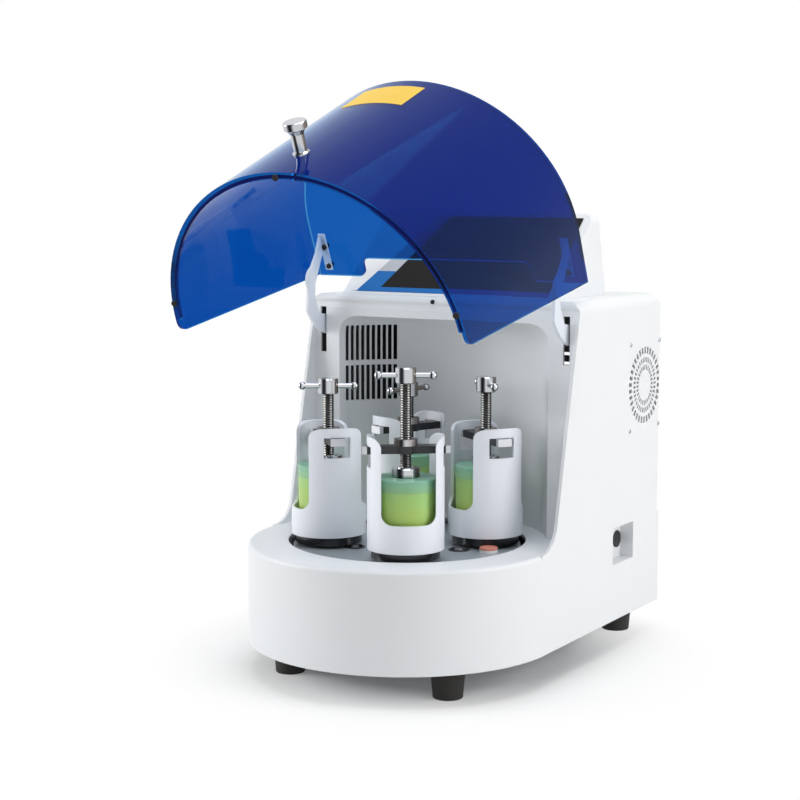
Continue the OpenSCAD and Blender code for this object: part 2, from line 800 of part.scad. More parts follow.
module turntable_plugs() color("dimgray") place() {
    for (p = plug_places) translate([p[0], p[1], table_top - plug_depth]) rotate_extrude() polygon([
        [0, 0], [plug_r - 0.1, 0], [plug_r - 0.1, 5], [plug_r - 3, 5.6], [plug_r - 4.5, 3], [6, 3],
        [6, 6.5], [0, 6.5]
    ]);
    translate([cap_place[0], cap_place[1], table_top - plug_depth]) rotate_extrude() polygon([
        [0, 0], [cap_r - 0.1, 0], [cap_r - 0.1, 4.1], [cap_r + 2.5, 4.1], [cap_r + 2.5, 11],
        [cap_r + 1.5, 12], [0, 12]
    ]);
}

// sealed ball bearing: two rings and a shield set back between them
module bearing(r0, r1, h) {
    w = (r1 - r0) * 0.28;
    rotate_extrude() polygon([
        [r0, 0], [r0 + w, 0], [r0 + w, 0.6], [r1 - w, 0.6], [r1 - w, 0], [r1, 0],
        [r1, h], [r1 - w, h], [r1 - w, h - 0.6], [r0 + w, h - 0.6], [r0 + w, h], [r0, h]
    ]);
}

module planet_bearings() color("silver") place() for (a = station_dirs)
    translate(concat(polar(planet_r, a), [bearing_z])) {
        bearing(shaft_r + run_fit, bearing_r, bearing_h);
        translate([0, 0, bearing_h + bearing_gap]) bearing(shaft_r + run_fit, bearing_r, bearing_h);
    }

module main_bearings() color("silver") place() for (z = main_bearing_z)
    translate([0, 0, z]) bearing(main_r + run_fit, main_bearing_r, main_bearing_h);

module sun_gear() color("gray") place() difference() {
    union() {
        translate([0, 0, frame_z + frame_t]) cylinder(r = sun_foot_r, h = sun_foot_t);
        translate([0, 0, frame_z + frame_t])
            cylinder(r = sun_hub_r, h = main_flange_z - 2 - frame_z - frame_t);
        translate([0, 0, gear_z]) linear_extrude(gear_face) polygon(gear_points(sun_teeth, 0));
    }
    translate([0, 0, frame_z]) cylinder(r = main_bearing_r - 5.5, h = 60);
    translate([0, 0, frame_z]) cylinder(r = main_bearing_r - 3.5, h = main_bearing_z[0] - frame_z + 1);
    translate([0, 0, main_bearing_z[0]]) cylinder(r = main_bearing_r, h = main_bearing_h);
    translate([0, 0, main_bearing_z[1]]) cylinder(r = main_bearing_r, h = main_bearing_h + 2);
    for (i = [0 : 5]) rotate([0, 0, 30 + i * 60]) translate([sun_screw_circle, 0, frame_z])
        cylinder(r = sun_screw_r, h = frame_t + sun_foot_t + 2);
}

module idler(k) {
    d = station_dirs[k];
    a = mesh_angle(d, sun_teeth, 0, idler_teeth);
    color("gray") place() translate(concat(polar(idler_r, d), [gear_z])) difference() {
        linear_extrude(gear_face) polygon(gear_points(idler_teeth, a));
        translate([0, 0, -1]) cylinder(r = idler_pin_r + run_fit, h = gear_face + 2);
    }
}

module idler_pins() color("silver") place() for (a = station_dirs)
    translate(concat(polar(idler_r, a), [0])) rotate_extrude() polygon([
        [0, gear_z - 4], [idler_head_r, gear_z - 4], [idler_head_r, gear_z - 0.5],
        [idler_pin_r, gear_z - 0.5],
        [idler_pin_r, gear_z + gear_face + 0.5], [idler_sleeve_r, gear_z + gear_face + 0.5],
        [idler_sleeve_r, table_top - table_t], [idler_pin_r, table_top - table_t],
        [idler_pin_r, tail_top + 1], [0, tail_top + 1]
    ]);

module planet_shaft(k) {
    d = station_dirs[k];
    a1 = mesh_angle(d, sun_teeth, 0, idler_teeth);
    a2 = mesh_angle(d, idler_teeth, a1, planet_teeth);
    color("dimgray") at_station(k) {
        translate([0, 0, gear_z]) linear_extrude(gear_face) polygon(gear_points(planet_teeth, a2));
        translate([0, 0, shaft_z]) cylinder(r = shaft_r, h = holder_z - flange_h + 5 - shaft_z);
        translate([0, 0, tail_top + 1]) cylinder(r = collar_r, h = holder_z - flange_h - tail_top);
        translate([0, 0, holder_z - flange_h]) cylinder(r = flange_r, h = flange_h);
    }
}

module u_opening() {
    polygon(concat(
        [[-u_half, holder_top + 1]],
        arc([-u_half + u_round, u_bottom + u_round], u_round, 180, 270, 6),
        arc([u_half - u_round, u_bottom + u_round], u_round, 270, 360, 6),
        [[u_half, holder_top + 1]]
    ));
}

// rounds the upper corners of the two lugs
module lug_corner() {
    c = [u_half + lug_round, holder_top - lug_round];
    polygon(concat([[u_half - 1, holder_top + 1], [u_half - 1, c[1]]],
        arc(c, lug_round, 180, 90, 6), [[c[0], holder_top + 1]]));
}

module holder_form() {
    difference() {
        translate([0, 0, holder_z]) cylinder(r = holder_r, h = holder_top - holder_z, $fn = 128);
        translate([0, 0, jar_z])
            cylinder(r = holder_r - holder_wall, h = holder_top - jar_z + 1, $fn = 128);
        front_prism(-holder_r - 1, holder_r + 1) u_opening();
        front_prism(-holder_r - 1, holder_r + 1) lug_corner();
        front_prism(-holder_r - 1, holder_r + 1) mirror([1, 0]) lug_corner();
        translate([-holder_r - 1, -window_w / 2, window_z]) cube([2 * holder_r + 2, window_w, window_h]);
    }
}

module jar_holder(k) {
    color("white") at_station(k) rotate([0, 0, lug_dirs[k]]) holder_form();
}

module crossbar(k) {
    color("dimgray") at_station(k) rotate([0, 0, lug_dirs[k]]) difference() {
        union() {
            translate([-bar_len / 2, -bar_w / 2, bar_z]) cube([bar_len, bar_w, bar_h]);
            translate([0, 0, bar_z]) cylinder(r = nut_r, h = bar_h + nut_h);
        }
        translate([0, 0, bar_z - 1]) cylinder(r = screw_r + 0.15, h = bar_h + nut_h + 2);
    }
}

module jar(k) {
    color("yellowgreen") at_station(k) translate([0, 0, jar_z]) rotate_extrude($fn = 96) polygon([
        [0, 0], [jar_r - 2, 0], [jar_r, 2], [jar_r, jar_h], [jar_r - jar_wall, jar_h],
        [jar_r - jar_wall, 12], [jar_r - jar_wall - 4, 8], [0, 8]
    ]);
}

module jar_lid(k) {
    r = jar_r - jar_wall - 0.1;
    color("cadetblue") at_station(k) translate([0, 0, lid_z]) rotate_extrude($fn = 96) polygon([
        [0, -6], [r - 1, -6], [r, -5], [r, 0], [jar_r + 0.5, 0], [jar_r + 0.5, lid_h - 1.5],
        [jar_r - 1, lid_h], [0, lid_h]
    ]);
}

module pressure_pad(k) {
    color("silver") at_station(k) translate([0, 0, pad_z]) rotate_extrude() polygon([
        [0, 0], [pad_r - 1, 0], [pad_r, 1], [pad_r, pad_h - 1.8], [pad_r - 1, pad_h - 0.8],
        [pad_lip, pad_h - 0.8], [pad_lip, pad_h], [screw_r + 0.05, pad_h], [screw_r + 0.05, pad_seat],
        [0, pad_seat]
    ]);
}

module clamp_screw(k) {
    z1 = hub_levels[k];
    color("silver") at_station(k) {
        translate([0, 0, pad_z + pad_seat + 0.2]) cylinder(r = screw_r, h = z1 - pad_z - pad_seat + 0.8);
        translate([0, 0, z1]) rotate_extrude() polygon([
            [0, 0], [hub_r - 1.5, 0], [hub_r, 1.5], [hub_r, hub_h - 1.5], [hub_r - 1.5, hub_h], [0, hub_h]
        ]);
        translate([0, 0, z1 + hub_h / 2]) rotate([0, 0, handle_dirs[k]]) rod_x(handle_r, handle_len);
        for (s = [-1, 1]) translate([0, 0, z1 + hub_h / 2]) rotate([0, 0, handle_dirs[k]])
            translate([s * (handle_len / 2 - 2), 0, 0]) sphere(r = handle_r + 2, $fn = 32);
    }
}

module main_shaft() color("silver") place() {
    rotate_extrude() polygon([
        [0, 60], [11, 60], [11, 66], [main_r, 67], [main_r, main_flange_z], [main_flange_r, main_flange_z],
        [main_flange_r, main_flange_z + main_flange_t], [tail_r, main_flange_z + main_flange_t],
        [tail_r, tail_top], [0, tail_top]
    ]);
}

// outline of a belt rim between its two lips
function flanged_rim(r) = [
    [r + flange_lip, 1], [r + flange_lip, 3], [r, 4],
    [r, pulley_h - 3], [r + flange_lip, pulley_h - 2], [r + flange_lip, pulley_h]
];

module driven_pulley() color("gray") place() translate([0, 0, pulley_z]) difference() {
    rotate_extrude($fn = 96) polygon(concat(
        [[main_r + 0.02, 0], [pulley_hub_r, 0], [pulley_hub_r, 9], [pulley_r - pulley_rim, 9],
        [pulley_r - pulley_rim, 1]],
        flanged_rim(pulley_r),
        [[pulley_r - pulley_rim, pulley_h], [pulley_r - pulley_rim, 17], [pulley_hub_r, 17],
        [pulley_hub_r, pulley_h],
            [main_r + 0.02, pulley_h]]
    ));
    for (i = [0 : 5]) rotate([0, 0, i * 60]) translate([(pulley_hub_r + pulley_r - pulley_rim) / 2, 0, 0])
        cylinder(r = 10, h = pulley_h + 3);
}

module motor_pulley() color("gray") place() translate([0, motor_y, pulley_z]) {
    rotate_extrude() polygon(concat(
        [[0, 0], [motor_shaft_r, 0], [motor_shaft_r, 1]], flanged_rim(motor_pulley_r),
        [[motor_shaft_r, pulley_h], [motor_shaft_r, 80], [0, 80]]
    ));
}

// plan of the belt run round both pulleys, grown by g
module belt_plan(g) {
    r0 = pulley_r + g;
    r1 = motor_pulley_r + g;
    a = asin((r0 - r1) / motor_y);
    polygon(concat(
        arc([0, 0], r0, -180 - a, a, 40),
        arc([0, motor_y], r1, a, 180 - a, 20)
    ));
}

module drive_belt() color("black") place() translate([0, 0, pulley_z + 4]) difference() {
    linear_extrude(belt_w) belt_plan(belt_t);
    translate([0, 0, -1]) linear_extrude(belt_w + 2) belt_plan(belt_play);
}

module motor() color("slategray") place() translate([0, motor_y, frame_z + frame_t]) difference() {
    union() {
        cylinder(r = motor_r + 6, h = 12);
        cylinder(r = motor_r - 6, h = motor_h);
        for (i = [1 : motor_fins]) rotate([0, 0, i * 360 / motor_fins]) translate([motor_r - 10, -1.5, 10])
            cube([10, 3, motor_h - 35]);
        translate([0, 0, motor_h - 25]) cylinder(r = motor_r + 2, h = 30);
        translate([-35, -motor_r - 4, 60]) cube([70, 30, 60]);
    }
    translate([0, 0, -1]) cylinder(r = motor_shaft_r + 0.05, h = 46);
    translate([0, 0, -1]) cylinder(r = motor_shaft_r + 10, h = 6);
    for (i = [0 : 3]) rotate([0, 0, 45 + i * 90]) translate([motor_r - 1, 0, -1]) cylinder(r = 3.5, h = 14);
    for (i = [1 : 12]) rotate([0, 0, i * 30]) translate([40, -2, motor_h + 1]) cube([20, 4, 6]);
}

housing();
chassis();
feet();
rear_cover();
mains_inlet();
control_console();
control_overlay();
switch_frame();
power_rocker();
fan_frame();
fan_rotor();
hood_sheet();
hood_top_plate();
hood_arms();
hood_bumpers();
hood_knob();
hinge_pins();
motor();
motor_pulley();
drive_belt();
driven_pulley();
main_shaft();
main_bearings();
sun_gear();
turntable();
turntable_plugs();
planet_bearings();
idler_pins();
idler(0);  // idler_gear_1
idler(1);  // idler_gear_2
idler(2);  // idler_gear_3
idler(3);  // idler_gear_4
planet_shaft(0);  // planet_shaft_1
planet_shaft(1);  // planet_shaft_2
planet_shaft(2);  // planet_shaft_3
planet_shaft(3);  // planet_shaft_4
jar_holder(0);  // jar_holder_1
jar_holder(1);  // jar_holder_2
jar_holder(2);  // jar_holder_3
jar_holder(3);  // jar_holder_4
crossbar(0);  // crossbar_1
crossbar(1);  // crossbar_2
crossbar(2);  // crossbar_3
crossbar(3);  // crossbar_4
jar(0);  // jar_1
jar(1);  // jar_2
jar(2);  // jar_3
jar(3);  // jar_4
jar_lid(0);  // jar_lid_1
jar_lid(1);  // jar_lid_2
jar_lid(2);  // jar_lid_3
jar_lid(3);  // jar_lid_4
pressure_pad(0);  // pressure_pad_1
pressure_pad(1);  // pressure_pad_2
pressure_pad(2);  // pressure_pad_3
pressure_pad(3);  // pressure_pad_4
clamp_screw(0);  // clamp_screw_1
clamp_screw(1);  // clamp_screw_2
clamp_screw(2);  // clamp_screw_3
clamp_screw(3);  // clamp_screw_4
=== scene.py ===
"""Studio scene of a bench planetary ball mill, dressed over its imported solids."""
import logging
import math
from abc import ABC, abstractmethod
from dataclasses import dataclass
from enum import Enum
from typing import Callable, Iterable, Sequence, Union

import bmesh
import bpy
from mathutils import Matrix, Vector


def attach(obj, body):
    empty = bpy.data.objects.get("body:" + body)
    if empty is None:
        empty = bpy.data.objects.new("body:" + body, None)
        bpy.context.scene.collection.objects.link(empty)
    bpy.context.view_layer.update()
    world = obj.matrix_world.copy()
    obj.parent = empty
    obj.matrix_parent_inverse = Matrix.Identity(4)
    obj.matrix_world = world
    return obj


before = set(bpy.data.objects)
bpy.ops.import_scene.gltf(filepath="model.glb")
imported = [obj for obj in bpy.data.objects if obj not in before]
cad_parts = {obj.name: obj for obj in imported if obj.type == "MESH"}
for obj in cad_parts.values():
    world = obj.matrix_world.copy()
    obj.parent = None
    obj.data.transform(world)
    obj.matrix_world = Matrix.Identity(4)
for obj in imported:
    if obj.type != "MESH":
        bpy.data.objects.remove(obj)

LOG = logging.getLogger("ball_mill")
Colour = tuple[float, float, float]
Point = tuple[float, float, float]
Plan = tuple[float, float]
Value = Union[bpy.types.NodeSocket, float, tuple[float, ...]]
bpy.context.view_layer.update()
# the turntable's axis lies this far along Y from the frame's zero
SHIFT_Y = -0.0350537
# the hood rests raised by this angle about its hinge
HOOD_OPEN = math.radians(66.5)
HINGE = Vector((0.0, 0.116 + SHIFT_Y, 0.541))
STATIONS = range(1, 5)


class Body(Enum):
    """Bodies of the frame that new pieces ride on."""

    BASE = "base"
    HOOD = "hood"


class Axis(Enum):
    """Coordinate picked out of a position or a direction."""

    X = 0
    Y = 1
    Z = 2


class Ray(Enum):
    """Kinds of ray that a material can tell apart."""

    CAMERA = "Is Camera Ray"
    SHADOW = "Is Shadow Ray"
    DIFFUSE = "Is Diffuse Ray"
    GLOSSY = "Is Glossy Ray"
    TRANSMISSION = "Is Transmission Ray"


# rays that look at the background, mirror it or pass through glass to it
SEEING = (Ray.CAMERA, Ray.GLOSSY, Ray.TRANSMISSION)


def srgb(red: int, green: int, blue: int) -> Colour:
    """Turn an 8 bit screen colour into linear light.

    Args:
        red: Red channel, 0 to 255.
        green: Green channel, 0 to 255.
        blue: Blue channel, 0 to 255.

    Returns:
        The colour in linear light.
    """
    def channel(value: int) -> float:
        """Linear value of one channel."""
        part = value / 255.0
        return part / 12.92 if part <= 0.04045 else ((part + 0.055) / 1.055) ** 2.4
    return channel(red), channel(green), channel(blue)


def any_ray(tree: bpy.types.NodeTree, *rays: Ray) -> bpy.types.NodeSocket:
    """Factor that is 1 for any of the given kinds of ray.

    Args:
        tree: Node tree to add to.
        rays: The kinds of ray.

    Returns:
        The factor socket.
    """
    path = tree.nodes.new("ShaderNodeLightPath")
    total = path.outputs[rays[0].value]
    for ray in rays[1:]:
        join = tree.nodes.new("ShaderNodeMath")
        join.operation = "MAXIMUM"
        tree.links.new(total, join.inputs[0])
        tree.links.new(path.outputs[ray.value], join.inputs[1])
        total = join.outputs[0]
    return total


class Graph:
    """Small helper round one material's node tree."""

    def __init__(self, name: str) -> None:
        """Start a material with a principled shader and an output.

        Args:
            name: Name of the material.
        """
        self.material = bpy.data.materials.new(name)
        self.material.use_nodes = True
        self.tree = self.material.node_tree
        self.tree.nodes.clear()
        self.output = self.tree.nodes.new("ShaderNodeOutputMaterial")
        self.shader = self.tree.nodes.new("ShaderNodeBsdfPrincipled")
        self.link(self.shader.outputs[0], self.output.inputs["Surface"])

    def link(self, source: bpy.types.NodeSocket, target: bpy.types.NodeSocket) -> None:
        """Join two sockets."""
        self.tree.links.new(source, target)

    def feed(self, value: Value, target: bpy.types.NodeSocket) -> None:
        """Link a socket, or write a plain value into the target.

        Args:
            value: Socket, number or vector.
            target: Input socket that takes it.
        """
        if isinstance(value, bpy.types.NodeSocket):
            self.link(value, target)
        else:
            target.default_value = value

    def position(self) -> bpy.types.NodeSocket:
        """Object coordinates, which are the row frame's own."""
        return self.tree.nodes.new("ShaderNodeTexCoord").outputs["Object"]

    def pick(self, source: bpy.types.NodeSocket, axis: Axis) -> bpy.types.NodeSocket:
        """One coordinate of a vector.

        Args:
            source: The vector socket.
            axis: The coordinate.

        Returns:
            The value socket.
        """
        split = self.tree.nodes.new("ShaderNodeSeparateXYZ")
        self.link(source, split.inputs[0])
        return split.outputs[axis.value]

    def axis(self, axis: Axis) -> bpy.types.NodeSocket:
        """One coordinate of the position."""
        return self.pick(self.position(), axis)

    def facing(self, axis: Axis) -> bpy.types.NodeSocket:
        """One part of the surface's own direction on the object."""
        return self.pick(self.tree.nodes.new("ShaderNodeTexCoord").outputs["Normal"], axis)

    def turn(self) -> bpy.types.NodeSocket:
        """Angle in plan of the way that the surface faces."""
        return self.math("ARCTAN2", self.facing(Axis.Y), self.facing(Axis.X))

    def lap(self, turn: bpy.types.NodeSocket) -> bpy.types.NodeSocket:
        """An angle as a share of one lap, 0 to 1."""
        return self.math("ADD", self.math("DIVIDE", turn, 2 * math.pi), 0.5)

    def reach(self, centre: Plan) -> bpy.types.NodeSocket:
        """Distance from an upright axis.

        Args:
            centre: Place of the axis in plan.

        Returns:
            The distance socket.
        """
        along = self.math("SUBTRACT", self.axis(Axis.X), centre[0])
        across = self.math("SUBTRACT", self.axis(Axis.Y), centre[1])
        square = self.math("ADD", self.math("MULTIPLY", along, along), self.math("MULTIPLY", across, across))
        return self.math("SQRT", square)

    def ramp(self, factor: Value, stops: Sequence[tuple[float, Colour]]) -> bpy.types.NodeSocket:
        """Colour ramp.

        Args:
            factor: Factor socket, 0 to 1.
            stops: Place and colour of every stop.

        Returns:
            The colour socket.
        """
        node = self.tree.nodes.new("ShaderNodeValToRGB")
        node.color_ramp.interpolation = "EASE"
        elements = node.color_ramp.elements
        while len(elements) < len(stops):
            elements.new(0.5)
        for element, (place, colour) in zip(elements, stops):
            element.position = place
            element.color = (*colour, 1.0)
        self.feed(factor, node.inputs[0])
        return node.outputs[0]

    def math(self, operation: str, first: Value, second: Value = 0.0,
             third: Value = 0.0) -> bpy.types.NodeSocket:
        """One math node.

        Args:
            operation: Name of the math operation.
            first: First number or socket.
            second: Second number or socket.
            third: Third number or socket.

        Returns:
            The value socket.
        """
        node = self.tree.nodes.new("ShaderNodeMath")
        node.operation = operation
        for value, target in zip((first, second, third), node.inputs):
            self.feed(value, target)
        return node.outputs[0]

    def noise(self, scale: float, detail: float = 3.0) -> bpy.types.NodeSocket:
        """Noise over the position.

        Args:
            scale: Noise scale per metre.
            detail: Octaves of detail.

        Returns:
            The factor socket.
        """
        node = self.tree.nodes.new("ShaderNodeTexNoise")
        node.inputs["Scale"].default_value = scale
        node.inputs["Detail"].default_value = detail
        self.link(self.position(), node.inputs["Vector"])
        return node.outputs["Fac"]

    def span(self, value: bpy.types.NodeSocket, low: float, high: float, start: float = 0.3,
             end: float = 0.7) -> bpy.types.NodeSocket:
        """Map a factor to a range.

        Args:
            value: The factor.
            low: Result at start.
            high: Result at end.
            start: Factor that gives low.
            end: Factor that gives high.

        Returns:
            The mapped value socket.
        """
        node = self.tree.nodes.new("ShaderNodeMapRange")
        self.link(value, node.inputs["Value"])
        for name, number in (("From Min", start), ("From Max", end), ("To Min", low), ("To Max", high)):
            node.inputs[name].default_value = number
        return node.outputs["Result"]

    def mix(self, factor: Value, first: Value, second: Value) -> bpy.types.NodeSocket:
        """Mix two colours.

        Args:
            factor: Share of the second colour.
            first: Colour or socket.
            second: Colour or socket.

        Returns:
            The colour socket.
        """
        node = self.tree.nodes.new("ShaderNodeMix")
        node.data_type = "RGBA"
        self.feed(factor, node.inputs[0])
        for value, target in ((first, node.inputs[6]), (second, node.inputs[7])):
            self.feed((*value, 1.0) if isinstance(value, tuple) else value, target)
        return node.outputs[2]

    def relief(self, height: bpy.types.NodeSocket, depth: float, edge: float = 0.0) -> None:
        """Bump the shader's normal, on top of an optional rounded edge.

        Args:
            height: Height factor.
            depth: Depth of the relief in metres.
            edge: Radius of the rounded edge in metres, or 0.
        """
        bump = self.tree.nodes.new("ShaderNodeBump")
        bump.inputs["Distance"].default_value = depth
        bump.inputs["Strength"].default_value = 1.0
        self.link(height, bump.inputs["Height"])
        if edge > 0:
            rounded = self.tree.nodes.new("ShaderNodeBevel")
            rounded.samples = 4
            rounded.inputs["Radius"].default_value = edge
            self.link(rounded.outputs[0], bump.inputs["Normal"])
        self.link(bump.outputs[0], self.shader.inputs["Normal"])

    def set(self, **values: Value) -> None:
        """Set shader inputs, with underscores for the spaces in their names.

        Args:
            values: Socket, number or colour of each input.
        """
        for name, value in values.items():
            is_colour = isinstance(value, tuple) and len(value) == 3
            self.feed((*value, 1.0) if is_colour else value, self.shader.inputs[name.replace("_", " ")])


@dataclass(frozen=True)
class Finish:
    """A plain finish with grain, a little wear and softened edges.

    Attributes:
        name: Name of the material.
        colour: Base colour in linear light.
        roughness: Mean roughness.
        metallic: 1 for bare metal, 0 for paint, plastic and rubber.
        grain: Scale per metre of the fine noise.
        depth: Depth of the grain in metres.
        patch: Scale per metre of the soft shading.
        shade: Share by which the soft shading darkens.
        edge: Radius of the softened edges in metres.
        coat: Weight of a clear coat.
        coat_roughness: Roughness of the clear coat.
        specular: Specular level.
        spread: Share by which the grain varies the roughness.
    """

    name: str
    colour: Colour
    roughness: float = 0.4
    metallic: float = 0.0
    grain: float = 900.0
    depth: float = 0.00003
    patch: float = 6.0
    shade: float = 0.05
    edge: float = 0.0006
    coat: float = 0.0
    coat_roughness: float = 0.08
    specular: float = 0.5
    spread: float = 0.15

    def shaded(self, graph: Graph) -> bpy.types.NodeSocket:
        """Base colour with its soft shading.

        Args:
            graph: The material's graph.

        Returns:
            The colour socket.
        """
        soft = graph.span(graph.noise(self.patch, 2.0), 0.0, 1.0)
        dark = tuple(part * (1.0 - self.shade) for part in self.colour)
        return graph.mix(soft, self.colour, dark)

    def uneven(self, graph: Graph, fine: bpy.types.NodeSocket) -> bpy.types.NodeSocket:
        """Roughness that varies with the grain.

        Args:
            graph: The material's graph.
            fine: The grain's noise.

        Returns:
            The roughness socket.
        """
        low, high = self.roughness * (1.0 - self.spread), self.roughness * (1.0 + self.spread)
        return graph.span(fine, low, min(1.0, high))

    def build(self) -> bpy.types.Material:
        """Make the material.

        Returns:
            The finished material.
        """
        graph = Graph(self.name)
        fine = graph.noise(self.grain)
        graph.set(Base_Color=self.shaded(graph), Roughness=self.uneven(graph, fine))
        graph.set(Metallic=self.metallic, Specular_IOR_Level=self.specular)
        if self.coat > 0:
            graph.set(Coat_Weight=self.coat, Coat_Roughness=self.coat_roughness)
        graph.relief(fine, self.depth, self.edge)
        self.extend(graph)
        return graph.material

    def extend(self, graph: Graph) -> None:
        """Hook for finishes that add to the plain one."""


@dataclass(frozen=True)
class ClearSheet(Finish):
    """Tinted clear acrylic sheet, which only dims the light that falls through it.

    Attributes:
        fall: Colour of the light that falls through.
        edge_colour: Colour of the cut edges.
        edge_turn: How level a face is at most on a plate's cut edge, or at least on an upright sheet's.
        flat: True for the level plate, False for the upright sheet.
        ior: Index of refraction, kept low so that the thin sheet hardly bends what shows through.
        clearness: Weight of the transmission.
    """

    specular: float = 0.3
    spread: float = 0.3
    fall: Colour = (0.86, 0.89, 0.94)
    edge_colour: Colour = (0.0, 0.012, 0.16)
    edge_turn: float = 0.6
    flat: bool = False
    ior: float = 1.15
    clearness: float = 0.93

    def build(self) -> bpy.types.Material:
        """Make the clear material.

        Returns:
            The finished material.
        """
        graph = Graph(self.name)
        rise = graph.math("MULTIPLY", graph.facing(Axis.Z), math.cos(HOOD_OPEN))
        upward = graph.math("MULTIPLY_ADD", graph.facing(Axis.Y), math.sin(HOOD_OPEN), rise)
        level = graph.math("ABSOLUTE", upward)
        cut = graph.math("LESS_THAN" if self.flat else "GREATER_THAN", level, self.edge_turn)
        graph.set(Base_Color=graph.mix(cut, self.colour, self.edge_colour))
        graph.set(Roughness=self.uneven(graph, graph.noise(self.grain, 2.0)))
        graph.set(IOR=self.ior, Transmission_Weight=self.clearness, Specular_IOR_Level=self.specular)
        graph.relief(graph.noise(self.patch, 1.0), self.depth)
        self.let_through(graph)
        return graph.material

    def let_through(self, graph: Graph) -> None:
        """Let shadow, bounce and mirror rays pass the sheet, dimmed.

        Args:
            graph: The material's graph.
        """
        passing = graph.tree.nodes.new("ShaderNodeBsdfTransparent")
        passing.inputs["Color"].default_value = (*self.fall, 1.0)
        refracted = any_ray(graph.tree, Ray.TRANSMISSION)
        mirrored = graph.math("SUBTRACT", any_ray(graph.tree, Ray.GLOSSY), refracted)
        dimmed = any_ray(graph.tree, Ray.SHADOW, Ray.DIFFUSE)
        mix = graph.tree.nodes.new("ShaderNodeMixShader")
        graph.link(graph.math("MAXIMUM", mirrored, dimmed), mix.inputs[0])
        graph.link(graph.shader.outputs[0], mix.inputs[1])
        graph.link(passing.outputs[0], mix.inputs[2])
        graph.link(mix.outputs[0], graph.output.inputs["Surface"])


@dataclass(frozen=True)
class Chrome(Finish):
    """Polished plating with painted reflections in bands along its axis, plain or threaded; the thread has
    painted highlights and painted shade.

    Attributes:
        dark: Colour of the dark painted reflections.
        warm_reflection: Colour of the reddish painted reflection.
        flat_turn: How level a face is at least on a flat end.
        thread_shade: Colour of the painted shade on the thread, in its valleys and between its highlights.
        thread_highlight: Colour of the painted highlights on the thread.
        thread_top: Height where the drawn thread ends, or 0 for none.
        pitch: Pitch of the drawn thread in metres.
        thread: Depth of the drawn thread in metres.
        shank_roughness: Roughness above the thread.
        thread_roughness: Roughness that the thread adds to it.
        thread_shade_share: Mean share and swing of the painted shade in the thread's valleys.
    """

    dark: Colour = srgb(38, 38, 42)
    warm_reflection: Colour = tuple(part * 0.35 for part in srgb(206, 190, 178))
    flat_turn: float = 0.8
    thread_shade: Colour = srgb(66, 64, 62)
    thread_highlight: Colour = srgb(206, 204, 200)
    thread_top: float = 0.0
    pitch: float = 0.0035
    thread: float = 0.0005
    shank_roughness: float = 0.12
    thread_roughness: float = 0.14
    thread_shade_share: float = 0.35

    def extend(self, graph: Graph) -> None:
        """Add painted reflections in bands along the axis, and a thread below its top end.

        Args:
            graph: The material's graph.
        """
        turn = graph.turn()
        # painted reflections: dark, bright and reddish bands set by the way the surface faces
        painted_reflections = graph.ramp(graph.lap(turn), [
            (0.00, self.dark), (0.10, self.colour), (0.20, self.colour), (0.255, self.dark),
            (0.285, self.dark), (0.33, self.colour), (0.42, self.colour), (0.47, self.warm_reflection),
            (0.60, self.dark), (0.75, self.colour), (1.00, self.dark),
        ])
        flat = graph.math("GREATER_THAN", graph.math("ABSOLUTE", graph.facing(Axis.Z)), self.flat_turn)
        plain = graph.mix(flat, painted_reflections, self.colour)
        graph.set(Base_Color=plain)
        if self.thread_top > 0:
            self.cut_thread(graph, turn, plain)

    def cut_thread(self, graph: Graph, turn: bpy.types.NodeSocket, plain: bpy.types.NodeSocket) -> None:
        """Draw the thread below its top end, with painted highlights and painted shade.

        Args:
            graph: The material's graph.
            turn: Angle in plan of the way that the surface faces.
            plain: Colour above the thread.
        """
        height = graph.axis(Axis.Z)
        wave = graph.math("SINE", graph.math("MULTIPLY_ADD", height, 2 * math.pi / self.pitch, turn))
        below = graph.math("LESS_THAN", height, self.thread_top)
        graph.relief(graph.math("MULTIPLY", wave, below), self.thread)
        rough = graph.math("MULTIPLY_ADD", below, self.thread_roughness, self.shank_roughness)
        # painted highlights and painted shade on the thread, set by the way the surface faces
        steel = graph.ramp(graph.lap(turn), [
            (0.00, self.thread_shade), (0.16, self.thread_highlight), (0.23, self.thread_highlight), (0.27, self.thread_shade),
            (0.36, self.thread_shade), (0.42, self.thread_highlight), (0.48, self.thread_shade), (1.00, self.thread_shade),
        ])
        # painted shade, darkest in the thread's valleys
        groove_shade = graph.math("MULTIPLY_ADD", wave, self.thread_shade_share, self.thread_shade_share)
        steel = graph.mix(groove_shade, steel, self.thread_shade)
        graph.set(Roughness=rough, Base_Color=graph.mix(below, plain, steel))


